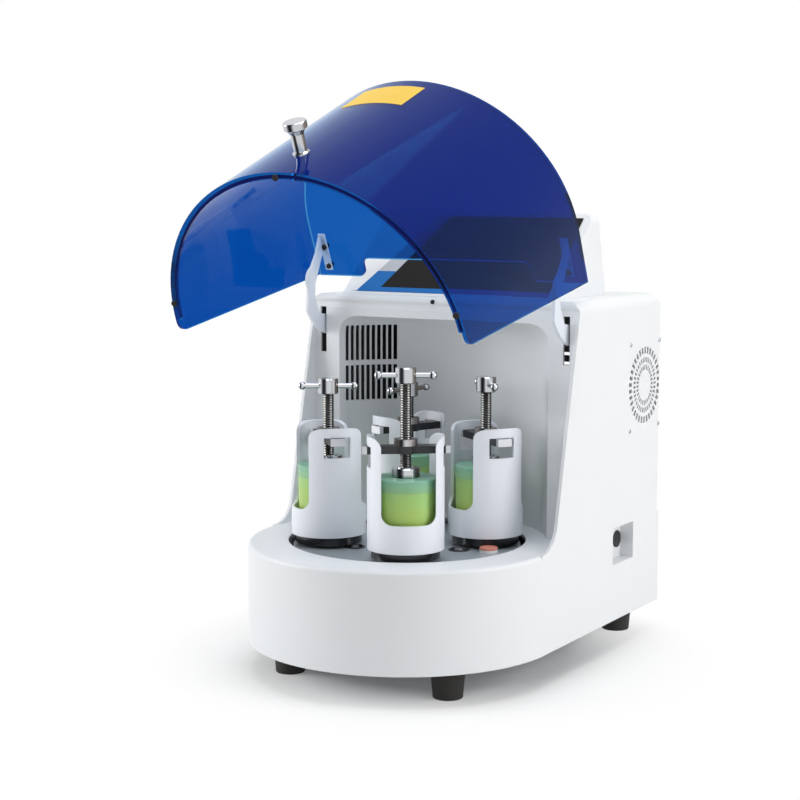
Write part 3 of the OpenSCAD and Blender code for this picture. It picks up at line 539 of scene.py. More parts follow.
@dataclass(frozen=True)
class BarSteel(Finish):
    """Blackened bar with ground ends, and a nut in its middle with painted light and shade.

    Attributes:
        centre: Place of the station's axis in plan.
        end: Distance from the axis where the ground ends start.
        nut: Reach of the nut from the axis.
        bar_top: Height of the bar's top face, above which the nut shows.
        bright: Colour of the ground steel, and of the painted highlight on the nut.
        steel: Colour of the painted light on the nut.
        shadow: Colour of the nut's shaded side.
    """

    centre: Plan = (0.0, 0.0)
    end: float = 0.0578
    nut: float = 0.0172
    bar_top: float = 0.3568
    bright: Colour = srgb(196, 198, 202)
    steel: Colour = srgb(150, 142, 138)
    shadow: Colour = srgb(96, 90, 88)

    def extend(self, graph: Graph) -> None:
        """Brighten the ground ends, and paint light, shade and a highlight on the nut.

        Args:
            graph: The material's graph.
        """
        away = graph.reach(self.centre)
        ends = graph.math("GREATER_THAN", away, self.end)
        above = graph.math("GREATER_THAN", graph.axis(Axis.Z), self.bar_top)
        nut = graph.math("MULTIPLY", graph.math("LESS_THAN", away, self.nut), above)
        # painted light, shadow and highlight on the nut, set by the way each face turns
        nut_painted_light = graph.ramp(graph.lap(graph.turn()), [
            (0.00, self.colour), (0.12, self.steel), (0.22, self.shadow), (0.28, self.colour),
            (0.34, self.bright), (0.44, self.steel), (0.60, self.colour), (1.00, self.colour),
        ])
        base = graph.mix(ends, self.colour, self.bright)
        graph.set(Base_Color=graph.mix(nut, base, nut_painted_light), Metallic=graph.math("MAXIMUM", ends, nut))


@dataclass(frozen=True)
class PlugRubber(Finish):
    """Black plugs with a steel bolt head, and the two-colour service cap.

    Attributes:
        cap: Place of the service cap in plan.
        cap_reach: Radius inside which the cap lies.
        cap_seam: Height where the cap's two colours meet.
        cap_side: Colour of the cap below its seam.
        cap_top: Colour of the cap above its seam.
        bolts: Place of each bolt in plan.
        bolt_reach: Radius of a bolt head.
        bolt: Colour of the bolt heads.
    """

    cap: Plan = (0.138, 0.002 + SHIFT_Y)
    cap_reach: float = 0.0155
    cap_seam: float = 0.1945
    cap_side: Colour = srgb(236, 232, 230)
    cap_top: Colour = srgb(212, 132, 112)
    bolts: tuple[Plan, ...] = ((-0.052, -0.066 + SHIFT_Y), (0.092, -0.005 + SHIFT_Y))
    bolt_reach: float = 0.0062
    bolt: Colour = srgb(176, 178, 182)

    def extend(self, graph: Graph) -> None:
        """Colour the cap and the bolt heads.

        Args:
            graph: The material's graph.
        """
        base: Value = self.colour
        metal: Value = 0.0
        for centre in self.bolts:
            inside = graph.math("LESS_THAN", graph.reach(centre), self.bolt_reach)
            base = graph.mix(inside, base, self.bolt)
            metal = graph.math("MAXIMUM", metal, inside)
        on_cap = graph.math("LESS_THAN", graph.reach(self.cap), self.cap_reach)
        above = graph.math("GREATER_THAN", graph.axis(Axis.Z), self.cap_seam)
        cap = graph.mix(above, self.cap_side, self.cap_top)
        graph.set(Base_Color=graph.mix(on_cap, base, cap), Metallic=metal)


@dataclass(frozen=True)
class Moulding(Finish):
    """White moulded skin, with painted shade on the inside of its outer walls.

    Attributes:
        cavity_shade: Colour of the painted shade.
        wall_x: Half width beyond which a face belongs to an outer wall.
        wall_y: Front end of the painted shade.
        inward: Part of a face's direction away from the middle, below which it faces inwards.
    """

    cavity_shade: Colour = srgb(52, 54, 56)
    wall_x: float = 0.2295
    wall_y: float = 0.072
    inward: float = -0.5

    def extend(self, graph: Graph) -> None:
        """Paint shade on the inside of the outer walls.

        Args:
            graph: The material's graph.
        """
        across = graph.axis(Axis.X)
        outward = graph.math("MULTIPLY", graph.math("SIGN", across), graph.facing(Axis.X))
        # painted shade: inner faces of the outer walls, towards the back, turn dark grey
        in_cavity_shade = graph.math("GREATER_THAN", graph.math("ABSOLUTE", across), self.wall_x)
        for limit in (graph.math("LESS_THAN", outward, self.inward),
                      graph.math("GREATER_THAN", graph.axis(Axis.Y), self.wall_y)):
            in_cavity_shade = graph.math("MULTIPLY", in_cavity_shade, limit)
        graph.set(Base_Color=graph.mix(in_cavity_shade, self.shaded(graph), self.cavity_shade))


@dataclass(frozen=True)
class ArmEnamel(Finish):
    """White arm enamel with painted blue light close to the blue plate it is screwed to.

    Attributes:
        blue_light: Colour of the painted blue light next to the plate.
        plate: Height of the plate on the closed hood.
        fade: Distance over which the painted blue light fades.
        strength: Strength of the painted blue light next to the plate.
    """

    blue_light: Colour = srgb(128, 168, 214)
    plate: float = 0.561
    fade: float = 0.045
    strength: float = 0.85

    def extend(self, graph: Graph) -> None:
        """Paint blue light close to the plate.

        Args:
            graph: The material's graph.
        """
        back = graph.math("SUBTRACT", graph.axis(Axis.Y), HINGE.y)
        rise = graph.math("SUBTRACT", graph.axis(Axis.Z), HINGE.z)
        along = graph.math("MULTIPLY", back, math.sin(HOOD_OPEN))
        closed = graph.math("MULTIPLY_ADD", rise, math.cos(HOOD_OPEN), along)
        plate = self.plate - HINGE.z
        # painted light: blue light through the hood, strongest next to the plate
        blue_light_share = graph.span(closed, 0.0, self.strength, plate - self.fade, plate)
        graph.set(Base_Color=graph.mix(blue_light_share, self.colour, self.blue_light))


@dataclass(frozen=True)
class Nylon(Finish):
    """Milky plastic that lets some light in.

    Attributes:
        glow: Weight of the light that scatters inside.
        low: Colour of the lower end.
        levels: Heights between which the colour changes.
        cloud: Share by which soft clouds shift that change.
        cloud_scale: Scale per metre of the clouds.
        scatter: How far red, green and blue scatter, as shares of the scale.
        scatter_scale: Scale of the scattering in metres.
    """

    glow: float = 0.35
    low: Colour = srgb(190, 208, 90)
    levels: tuple[float, float] = (0.212, 0.290)
    cloud: float = 0.15
    cloud_scale: float = 16.0
    scatter: Point = (0.6, 1.0, 0.35)
    scatter_scale: float = 0.006

    def extend(self, graph: Graph) -> None:
        """Deepen the colour upwards, and add the light that scatters inside.

        Args:
            graph: The material's graph.
        """
        rise = graph.span(graph.axis(Axis.Z), 0.0, 1.0, *self.levels)
        cloud = graph.span(graph.noise(self.cloud_scale, 2.0), -self.cloud, self.cloud)
        share = graph.math("ADD", rise, cloud)
        share.node.use_clamp = True
        graph.set(Base_Color=graph.mix(share, self.low, self.colour))
        graph.set(Subsurface_Weight=self.glow, Subsurface_Scale=self.scatter_scale)
        graph.shader.inputs["Subsurface Radius"].default_value = self.scatter


@dataclass(frozen=True)
class PanelFilm(Finish):
    """Printed control film: dark field, blue and silver bands.

    Attributes:
        foot: Middle of the film's lower edge.
        tilt: Lean of the film from level, in radians.
        pale_edge: Sideways run for each metre up the film, and start, of the pale corner's edge.
        dark_edge: The same for the dark field's left edge.
        dark_foot: Where the dark field starts, up the film.
        silver_foot: Where the band beside it turns from blue to silver.
        blue: Colour of the blue band.
        silver: Colour of the silver band.
        pale: Colour of the pale corner.
    """

    foot: Point = (0.0, 0.112 + SHIFT_Y, 0.555)
    tilt: float = math.atan2(127.0, 141.0)
    pale_edge: Plan = (0.45, -0.1655)
    dark_edge: Plan = (0.36, -0.1273)
    dark_foot: float = 0.0165
    silver_foot: float = 0.052
    blue: Colour = srgb(34, 108, 180)
    silver: Colour = srgb(186, 190, 198)
    pale: Colour = srgb(232, 234, 236)

    def extend(self, graph: Graph) -> None:
        """Paint the plain fields of the film.

        Args:
            graph: The material's graph.
        """
        across = graph.axis(Axis.X)
        back = graph.math("SUBTRACT", graph.axis(Axis.Y), self.foot[1])
        rise = graph.math("SUBTRACT", graph.axis(Axis.Z), self.foot[2])
        along = graph.math("ADD", graph.math("MULTIPLY", back, math.cos(self.tilt)),
                           graph.math("MULTIPLY", rise, math.sin(self.tilt)))
        printed = graph.math("GREATER_THAN", across, graph.math("MULTIPLY_ADD", along, *self.pale_edge))
        right = graph.math("GREATER_THAN", across, graph.math("MULTIPLY_ADD", along, *self.dark_edge))
        dark = graph.math("MULTIPLY", right, graph.math("GREATER_THAN", along, self.dark_foot))
        upper = graph.math("GREATER_THAN", along, self.silver_foot)
        base = graph.mix(printed, self.pale, graph.mix(upper, self.blue, self.silver))
        graph.set(Base_Color=graph.mix(dark, base, self.colour))


class Finishes:
    """Every finish of the machine, built once."""

    TABLE: tuple[Finish, ...] = (
        Moulding("white_moulding", srgb(232, 234, 236), 0.42, grain=700.0, depth=0.00004, shade=0.02,
                 edge=0.0012),
        Finish("steel_plate", srgb(196, 200, 204), 0.35, 0.9, grain=500.0, shade=0.06),
        Finish("feet_rubber", srgb(38, 36, 34), 0.75, grain=1400.0, depth=0.00008, edge=0.0012),
        Finish("black_plastic", srgb(30, 30, 32), 0.5, grain=1200.0, depth=0.00005),
        PanelFilm("panel_film", srgb(9, 8, 11), 0.45, grain=1500.0, depth=0.00001, specular=0.12),
        ClearSheet("blue_acrylic", (0.0008, 0.070, 0.385), 0.04, grain=60.0, depth=0.00008, patch=9.0),
        ClearSheet("blue_plate", (0.004, 0.105, 0.45), 0.04, grain=60.0, depth=0.00008, patch=9.0,
                   flat=True),
        ArmEnamel("arm_enamel", srgb(226, 230, 238), 0.34, grain=800.0, depth=0.00003, edge=0.0008,
                  coat=0.2),
        Finish("bumper_rubber", srgb(16, 16, 18), 0.6, grain=1400.0, specular=0.25),
        Chrome("chrome", srgb(200, 202, 206), 0.12, 1.0, grain=900.0, depth=0.00001, edge=0.0004),
        Finish("bearing_steel", srgb(170, 172, 175), 0.28, 1.0, grain=900.0),
        Finish("gear_steel", srgb(112, 114, 118), 0.38, 1.0, grain=900.0),
        Finish("dark_steel", srgb(36, 37, 40), 0.24, 0.5, grain=800.0, depth=0.00002, coat=0.3),
        Finish("cast_aluminium", srgb(150, 156, 160), 0.42, 0.35, grain=600.0, depth=0.00005, shade=0.1),
        Finish("table_enamel", srgb(164, 172, 178), 0.30, grain=600.0, depth=0.00004, shade=0.05, coat=0.2),
        PlugRubber("plug_rubber", srgb(36, 35, 36), 0.45, grain=1100.0, depth=0.00004),
        Finish("motor_paint", srgb(70, 82, 96), 0.45, grain=700.0),
        Finish("holder_enamel", srgb(238, 241, 248), 0.34, grain=800.0, depth=0.00003, shade=0.02,
               edge=0.0008, coat=0.2),
        Nylon("jar_nylon", srgb(162, 206, 124), 0.38, grain=500.0, depth=0.00003, glow=0.45),
        Nylon("lid_nylon", srgb(132, 184, 156), 0.4, grain=500.0, depth=0.00003, low=srgb(150, 196, 132),
              levels=(0.288, 0.308)),
        Finish("sticker_yellow", srgb(238, 196, 52), 0.45, grain=900.0, edge=0.0),
        Finish("black_screw", srgb(34, 34, 36), 0.35, 0.7, grain=900.0, edge=0.0003),
        Finish("bright_screw", srgb(186, 188, 192), 0.22, 1.0, grain=900.0, edge=0.0003),
    )

    def __init__(self) -> None:
        """Build every material."""
        self.made = {finish.name: finish.build() for finish in self.TABLE}

    def add(self, finish: Finish) -> str:
        """Build one more finish.

        Args:
            finish: The finish.

        Returns:
            Its name.
        """
        self.made[finish.name] = finish.build()
        return finish.name

    def __getitem__(self, name: str) -> bpy.types.Material:
        """The material of that name."""
        return self.made[name]


class Shop:
    """Mesh making shared by the sub-assemblies.

    Attributes:
        SMOOTH: Angle in radians under which edges look smooth.
        WELD: Distance in metres under which two points are one.
        DOME_FOOT: Share of a screw head's height that lies below its dome.
        DOME_STEP: Angle in degrees between two points of the dome.
        CROSS: Length and width of a recess's bar, as shares of the head's radius.
        RECESS: Height of the recess's middle, as a share of the head's height.
        BROKEN: Size of a disc's broken edge, as a share of its radius or height.
    """

    SMOOTH: float = math.radians(35.0)
    WELD: float = 1e-7
    DOME_FOOT: float = 0.35
    DOME_STEP: int = 10
    CROSS: Plan = (1.15, 0.26)
    RECESS: float = 0.85
    BROKEN: float = 0.3

    def __init__(self, finishes: Finishes) -> None:
        """Keep the finishes.

        Args:
            finishes: The machine's finishes.
        """
        self.finishes = finishes

    def dress(self, node: str, finish: str) -> bpy.types.Object:
        """Give a carried-over node its finish.

        Args:
            node: Name of the node.
            finish: Name of the finish.

        Returns:
            The node's object.
        """
        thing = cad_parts[node]
        material = self.finishes[finish]
        if not thing.material_slots:
            thing.data.materials.append(material)
        for place in thing.material_slots:
            place.material = material
        return thing

    def dress_all(self, table: dict[str, str]) -> list[bpy.types.Object]:
        """Give carried-over nodes their finishes.

        Args:
            table: Finish of each node.

        Returns:
            The nodes' objects.
        """
        return [self.dress(node, finish) for node, finish in table.items()]

    def add(self, name: str, mesh: bpy.types.Mesh, finish: str, body: str) -> bpy.types.Object:
        """Place a finished mesh on its body.

        Args:
            name: Name of the piece.
            mesh: Its mesh, in the row frame.
            finish: Name of its finish.
            body: Name of the body it rides on.

        Returns:
            The new object.
        """
        mesh.materials.clear()
        mesh.materials.append(self.finishes[finish])
        thing = bpy.data.objects.new(name, mesh)
        bpy.context.scene.collection.objects.link(thing)
        for face in mesh.polygons:
            face.use_smooth = True
        mesh.set_sharp_from_angle(angle=self.SMOOTH)
        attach(thing, body)
        return thing

    def mesh(self, name: str, make: Callable[[bmesh.types.BMesh], None]) -> bpy.types.Mesh:
        """Run a maker on an empty mesh.

        Args:
            name: Name of the mesh.
            make: Fills the mesh.

        Returns:
            The mesh.
        """
        work = bmesh.new()
        make(work)
        bmesh.ops.remove_doubles(work, verts=work.verts, dist=self.WELD)
        bmesh.ops.recalc_face_normals(work, faces=work.faces)
        mesh = bpy.data.meshes.new(name)
        work.to_mesh(mesh)
        work.free()
        return mesh

    def lathe(self, work: bmesh.types.BMesh, profile: Sequence[Plan], steps: int = 32) -> None:
        """Turn a profile of (radius, height) about Z.

        Args:
            work: The mesh to fill.
            profile: Points from one end to the other.
            steps: Steps round the axis.
        """
        rings: list[list[bmesh.types.BMVert]] = []
        for radius, height in profile:
            if radius < self.WELD:
                rings.append([work.verts.new((0.0, 0.0, height))])
                continue
            rings.append([
                work.verts.new((radius * math.cos(2 * math.pi * i / steps),
                                radius * math.sin(2 * math.pi * i / steps), height))
                for i in range(steps)
            ])
        for low, high in zip(rings, rings[1:]):
            for i in range(steps):
                j = (i + 1) % steps
                corners = [low[i % len(low)], low[j % len(low)], high[j % len(high)], high[i % len(high)]]
                unique = list(dict.fromkeys(corners))
                if len(unique) > 2:
                    work.faces.new(unique)

    def carve(self, mesh: bpy.types.Mesh, cutter: bpy.types.Mesh) -> bpy.types.Mesh:
        """Cut one closed mesh out of another.

        Args:
            mesh: The mesh that stays.
            cutter: The mesh that is removed.

        Returns:
            The carved mesh.
        """
        body = bpy.data.objects.new("carve_body", mesh)
        tool = bpy.data.objects.new("carve_tool", cutter)
        for thing in (body, tool):
            bpy.context.scene.collection.objects.link(thing)
        cut = body.modifiers.new("cut", "BOOLEAN")
        cut.operation = "DIFFERENCE"
        cut.solver = "EXACT"
        cut.use_self = True
        cut.object = tool
        bpy.context.view_layer.update()
        graph = bpy.context.evaluated_depsgraph_get()
        result = bpy.data.meshes.new_from_object(body.evaluated_get(graph))
        LOG.info("carved %s to %d faces", mesh.name, len(result.polygons))
        for thing in (body, tool):
            bpy.data.objects.remove(thing)
        return result

    def screw_mesh(self, radius: float, height: float) -> bpy.types.Mesh:
        """Pan head screw with a cross recess, its seat at z = 0.

        Args:
            radius: Radius of the head.
            height: Height of the head.

        Returns:
            The mesh.
        """
        def head(work: bmesh.types.BMesh) -> None:
            """Turn the domed head.

            Args:
                work: Mesh to fill.
            """
            foot = self.DOME_FOOT
            dome = [(radius * math.cos(a), height * (foot + (1.0 - foot) * math.sin(a)))
                    for a in (math.radians(degrees) for degrees in range(0, 90, self.DOME_STEP))]
            self.lathe(work, [(0.0, 0.0), (radius, 0.0), *dome, (0.0, height)])

        def cross(work: bmesh.types.BMesh) -> None:
            """Lay out the two bars of the cross.

            Args:
                work: Mesh to fill.
            """
            long, wide = self.CROSS
            bar = Matrix.Diagonal((radius * long, radius * wide, height, 1.0))
            for turn in (0.0, math.pi / 2):
                box = bmesh.ops.create_cube(work, size=1.0)
                spin = Matrix.Rotation(turn, 4, "Z") @ Matrix.Translation((0, 0, height * self.RECESS))
                bmesh.ops.transform(work, matrix=spin @ bar, verts=box["verts"])
        return self.carve(self.mesh("head", head), self.mesh("cross", cross))

    def discs(self, name: str, places: Iterable[Matrix], radius: float, height: float, finish: str,
              body: str) -> bpy.types.Object:
        """A set of equal discs with broken edges as one piece.

        Args:
            name: Name of the piece.
            places: One matrix for each disc, its Z out of the surface.
            radius: Radius of a disc.
            height: Height of a disc.
            finish: Name of the finish.
            body: Name of the body they ride on.

        Returns:
            The new object.
        """
        bevel = min(radius, height) * self.BROKEN

        def disc(work: bmesh.types.BMesh) -> None:
            """One turned disc."""
            self.lathe(work, [(0.0, 0.0), (radius, 0.0), (radius, height - bevel), (radius - bevel, height),
                              (0.0, height)])
        return self.gather(name, self.mesh("disc", disc), places, finish, body)

    def screws(self, name: str, places: Iterable[Matrix], radius: float, height: float, finish: str,
               body: str) -> bpy.types.Object:
        """A set of equal screws as one piece.

        Args:
            name: Name of the piece.
            places: One matrix for each screw, its Z out of the surface.
            radius: Radius of a head.
            height: Height of a head.
            finish: Name of the finish.
            body: Name of the body they ride on.

        Returns:
            The new object.
        """
        return self.gather(name, self.screw_mesh(radius, height), places, finish, body)

    def gather(self, name: str, one: bpy.types.Mesh, places: Iterable[Matrix], finish: str,
               body: str) -> bpy.types.Object:
        """Copies of one mesh as one piece.

        Args:
            name: Name of the piece.
            one: The mesh to copy.
            places: One matrix for each copy.
            finish: Name of the finish.
            body: Name of the body they ride on.

        Returns:
            The new object.
        """
        work = bmesh.new()
        for place in places:
            spare = one.copy()
            spare.transform(place)
            work.from_mesh(spare)
            bpy.data.meshes.remove(spare)
        mesh = bpy.data.meshes.new(name)
        work.to_mesh(mesh)
        work.free()
        return self.add(name, mesh, finish, body)


def placed(position: Point, normal: Point, turn: float = 0.0) -> Matrix:
    """Matrix that puts local Z along a normal at a position.

    Args:
        position: Where the origin goes, in the row frame.
        normal: Where local Z points.
        turn: Turn about the normal, in radians.

    Returns:
        The matrix.
    """
    turned = Vector(normal).to_track_quat("Z", "Y").to_matrix().to_4x4()
    return Matrix.Translation(position) @ turned @ Matrix.Rotation(turn, 4, "Z")


def hood_pose(point: Point) -> Vector:
    """Row-frame place of a point that is given on the closed hood.

    Args:
        point: Point on the closed hood, in the row frame.

    Returns:
        Its place with the hood raised as it rests.
    """
    return Matrix.Rotation(-HOOD_OPEN, 3, "X") @ (Vector(point) - HINGE) + HINGE


class SubAssembly(ABC):
    """Group of pieces that belong together."""

    @abstractmethod
    def build(self) -> list[bpy.types.Object]:
        """Make and dress the pieces, and return them."""


@dataclass
class Housing(SubAssembly):
    """Moulded housing with its console, rear cover, switch, fan and feet.

    Attributes:
        shop: Where its pieces are made.
        half_width: Half the width of the housing.
        fan: Place of the fan's axis on the side wall, back and up.
        fan_holes: Half the distances between the fan's screws, back and up.
        fan_head: Radius and height of a fan screw's head.
        fan_turn: Turn of a screw's cross on the fan's axis, and its change for each metre back.
        lintel_place: Place of the lintel screw.
        lintel_out: Direction that the lintel faces there.
        lintel_head: Radius and height of the lintel screw's head.
    """

    shop: Shop
    half_width: float = 0.235
    fan: Plan = (0.346 + SHIFT_Y, 0.410)
    fan_holes: Plan = (0.057, 0.068)
    fan_head: Plan = (0.0038, 0.0019)
    fan_turn: Plan = (0.4, 9.0)
    lintel_place: Point = (-0.0142, 0.0657, 0.5478)
    lintel_out: Point = (0.0, -0.97, 0.26)
    lintel_head: Plan = (0.0036, 0.0018)

    def dress(self) -> list[bpy.types.Object]:
        """Give every node of the housing its finish.

        Returns:
            The nodes' objects.
        """
        table = {
            "housing": "white_moulding", "control_console": "white_moulding", "rear_cover": "white_moulding",
            "mains_inlet": "black_plastic", "switch_frame": "black_plastic", "power_rocker": "black_plastic",
            "fan_frame": "black_plastic", "fan_rotor": "black_plastic", "feet": "feet_rubber",
            "control_overlay": "panel_film", "chassis": "steel_plate", "hinge_pins": "bearing_steel",
        }
        return self.shop.dress_all(table)

    def fan_screws(self) -> bpy.types.Object:
        """The four screws that hold the fan through the side wall, the front pair turned differently from
        the back pair.

        Returns:
            The screws.
        """
        (middle_y, middle_z), (half_y, half_z) = self.fan, self.fan_holes
        turn, change = self.fan_turn
        places = [placed((self.half_width, middle_y + y, middle_z + z), (1, 0, 0), turn + y * change)
                  for y in (-half_y, half_y) for z in (-half_z, half_z)]
        return self.shop.screws("fan_screws", places, *self.fan_head, "bright_screw", Body.BASE.value)

    def lintel_screw(self) -> bpy.types.Object:
        """The small screw in the middle of the lintel."""
        places = [placed(self.lintel_place, self.lintel_out)]
        return self.shop.screws("lintel_screw", places, *self.lintel_head, "black_screw", Body.BASE.value)

    def build(self) -> list[bpy.types.Object]:
        """Dress the nodes and add the fasteners."""
        return [*self.dress(), self.fan_screws(), self.lintel_screw()]


@dataclass
class Hood(SubAssembly):
    """Clear hood with its sticker and screws. Heights are those of the closed hood.

    Attributes:
        shop: Where its pieces are made.
        radius: Outer radius of the bent sheet.
        centre_y: Place of the bend's axis at the rim.
        rim_z: Height of the rim.
        lean: Angle by which the sheet leans back.
        top_z: Height of the top plate's upper face.
        flange_z: Height of the lower face of the arms' flanges.
        screw_x: Distance of the arm screws from the middle.
        screw_y: Places of an arm's two screws, behind the turntable's axis.
        screw_head: Radius and height of a screw's head.
        screw_turn: Turn of a screw's cross at the turntable's axis, and its change for each metre back.
        washer: Radius and height of a washer.
        nut: Radius and height of a nut.
        sticker_middle: Middle of the sticker, round the sheet.
        sticker_half: Half the width of the sticker.
        sticker_levels: Heights of its lower and upper edge.
        sticker_lifts: Heights of its two faces above the sheet.
        sticker_grid: Columns and rows of the sticker's mesh.
    """

    shop: Shop
    radius: float = 0.237
    centre_y: float = -0.0165 + SHIFT_Y
    rim_z: float = 0.201
    lean: float = math.radians(2.0)
    top_z: float = 0.566
    flange_z: float = 0.5578
    screw_x: float = 0.209
    screw_y: Plan = (0.028, 0.061)
    screw_head: Plan = (0.0046, 0.0024)
    screw_turn: Plan = (0.3, 9.0)
    washer: Plan = (0.0056, 0.0008)
    nut: Plan = (0.0041, 0.0026)
    sticker_middle: float = -0.008
    sticker_half: float = 0.052
    sticker_levels: Plan = (0.470, 0.542)
    sticker_lifts: Plan = (0.0001, 0.00045)
    sticker_grid: tuple[int, int] = (24, 8)

    def dress(self) -> list[bpy.types.Object]:
        """Give every node of the hood its finish.

        Returns:
            The nodes' objects.
        """
        table = {
            "hood_sheet": "blue_acrylic", "hood_top_plate": "blue_plate", "hood_arms": "arm_enamel",
            "hood_bumpers": "bumper_rubber", "hood_knob": "chrome",
        }
        return self.shop.dress_all(table)

    def on_sheet(self, across: float, height: float, lift: float) -> Vector:
        """Point on the outer face of the raised sheet.

        Args:
            across: Distance round the sheet from its middle.
            height: Height on the closed hood.
            lift: Height above the face.

        Returns:
            The point in the row frame.
        """
        turn = across / self.radius
        reach = self.radius + lift
        back = (height - self.rim_z) * math.tan(self.lean)
        point = (reach * math.sin(turn), self.centre_y - reach * math.cos(turn) + back, height)
        return hood_pose(point)

    def sticker_face(self, work: bmesh.types.BMesh, lift: float) -> list[list[bmesh.types.BMVert]]:
        """Points of one face of the sticker.

        Args:
            work: Mesh to add them to.
            lift: Height of the face above the sheet.

        Returns:
            The points, column by column.
        """
        columns, rows = self.sticker_grid
        start = self.sticker_middle - self.sticker_half
        low, high = self.sticker_levels
        return [[work.verts.new(self.on_sheet(start + 2 * self.sticker_half * i / columns,
                                              low + (high - low) * j / rows, lift))
                 for j in range(rows + 1)] for i in range(columns + 1)]

    def sticker(self) -> bpy.types.Object:
        """Plain bare sticker on the front of the sheet.

        Returns:
            The sticker.
        """
        columns, rows = self.sticker_grid
        rim = ([(i, 0) for i in range(columns)] + [(columns, j) for j in range(rows)]
               + [(i, rows) for i in range(columns, 0, -1)] + [(0, j) for j in range(rows, 0, -1)])

        def make(work: bmesh.types.BMesh) -> None:
            """Fill in both faces and the rim.

            Args:
                work: Mesh to fill.
            """
            under, over = (self.sticker_face(work, lift) for lift in self.sticker_lifts)
            for face in (under, over):
                for i in range(columns):
                    for j in range(rows):
                        work.faces.new((face[i][j], face[i + 1][j], face[i + 1][j + 1], face[i][j + 1]))
            for (i, j), (k, m) in zip(rim, rim[1:] + rim[:1]):
                work.faces.new((under[i][j], under[k][m], over[k][m], over[i][j]))
        mesh = self.shop.mesh("hood_sticker", make)
        return self.shop.add("hood_sticker", mesh, "sticker_yellow", Body.HOOD.value)

    def screw_places(self, height: float, up: int) -> list[Matrix]:
        """Where the arms are screwed to the top plate.

        Args:
            height: Height on the closed hood.
            up: 1 where the screws point up on the closed hood, or -1.

        Returns:
            One matrix for each screw.
        """
        normal = tuple(Matrix.Rotation(-HOOD_OPEN, 3, "X") @ Vector((0, 0, up)))
        turn, change = self.screw_turn
        return [placed(tuple(hood_pose((side * self.screw_x, y + SHIFT_Y, height))), normal,
                       turn + change * y)
                for side in (-1, 1) for y in self.screw_y]

    def fasteners(self) -> list[bpy.types.Object]:
        """Screws through the top plate, with a washer and a nut under each arm.

        Returns:
            The screws, the washers and the nuts.
        """
        body = Body.HOOD.value
        heads = self.screw_places(self.top_z, 1)
        washers = self.screw_places(self.flange_z, -1)
        nuts = self.screw_places(self.flange_z - self.washer[1], -1)
        return [
            self.shop.screws("hood_arm_screws", heads, *self.screw_head, "black_screw", body),
            self.shop.discs("hood_arm_washers", washers, *self.washer, "bright_screw", body),
            self.shop.discs("hood_arm_nuts", nuts, *self.nut, "bumper_rubber", body),
        ]

    def build(self) -> list[bpy.types.Object]:
        """Dress the nodes and add sticker and screws."""
        return [*self.dress(), self.sticker(), *self.fasteners()]


@dataclass
class Drive(SubAssembly):
    """Turntable, gears, belt and motor.

    Attributes:
        shop: Where its pieces are made.
    """

    shop: Shop

    def build(self) -> list[bpy.types.Object]:
        """Give every node of the drive its finish.

        Returns:
            The nodes' objects.
        """
        table = {
            "turntable": "table_enamel", "turntable_plugs": "plug_rubber", "driven_pulley": "cast_aluminium",
            "motor_pulley": "cast_aluminium", "drive_belt": "feet_rubber", "motor": "motor_paint",
            "main_shaft": "bearing_steel", "main_bearings": "bearing_steel",
            "planet_bearings": "bearing_steel", "idler_pins": "bearing_steel", "sun_gear": "gear_steel",
        }
        table |= {f"idler_gear_{number}": "gear_steel" for number in STATIONS}
        return self.shop.dress_all(table)


@dataclass
class Station(SubAssembly):
    """One grinding station with its holder, jar and clamp.

    Attributes:
        shop: Where its pieces are made.
        number: Number of the station, from 1.
        circle: Radius of the circle that the stations stand on.
        first: Direction of the first station, in radians.
        hub_levels: Height of each clamp screw's hub, where its thread ends.
    """

    shop: Shop
    number: int
    circle: float = 0.118
    first: float = math.radians(29.5 - 90.0)
    hub_levels: tuple[float, ...] = (0.446, 0.420, 0.399, 0.417)

    def centre(self) -> Plan:
        """Place of the station's axis in plan."""
        turn = self.first + (self.number - 1) * math.pi / 2
        return self.circle * math.cos(turn), self.circle * math.sin(turn) + SHIFT_Y

    def build(self) -> list[bpy.types.Object]:
        """Give every node of the station its finish.

        Returns:
            The nodes' objects.
        """
        finishes = self.shop.finishes
        bar = finishes.add(BarSteel(
            f"bar_steel_{self.number}", srgb(30, 31, 34), 0.35, grain=800.0, depth=0.00003,
            centre=self.centre()))
        screw = finishes.add(Chrome(
            f"threaded_chrome_{self.number}", srgb(200, 202, 206), 0.14, 1.0, grain=900.0, depth=0.00001,
            edge=0.0004, thread_top=self.hub_levels[self.number - 1]))
        table = {
            "planet_shaft": "dark_steel", "jar_holder": "holder_enamel", "crossbar": bar,
            "jar": "jar_nylon", "jar_lid": "lid_nylon", "pressure_pad": "chrome", "clamp_screw": screw,
        }
        return self.shop.dress_all({f"{stem}_{self.number}": finish for stem, finish in table.items()})


@dataclass(frozen=True)
class Lamp:
    """One soft square lamp.

    Attributes:
        name: Name of the lamp.
        place: Where it hangs.
        size: Length of its side in metres.
        power: Power in watts.
        aim: Point that it shines at.
    """

    name: str
    place: Point
    size: float
    power: float
    aim: Point = (0.0, 0.0, 0.35)

    def hang(self) -> bpy.types.Object:
        """Add the lamp to the scene.

        Returns:
            The lamp.
        """
        data = bpy.data.lights.new(self.name, "AREA")
        data.shape = "SQUARE"
        data.size = self.size
        data.energy = self.power
        lamp = bpy.data.objects.new(self.name, data)
        lamp.location = self.place
        beam = Vector(self.aim) - Vector(self.place)
        lamp.rotation_euler = beam.to_track_quat("-Z", "Y").to_euler()
        bpy.context.scene.collection.objects.link(lamp)
        return lamp


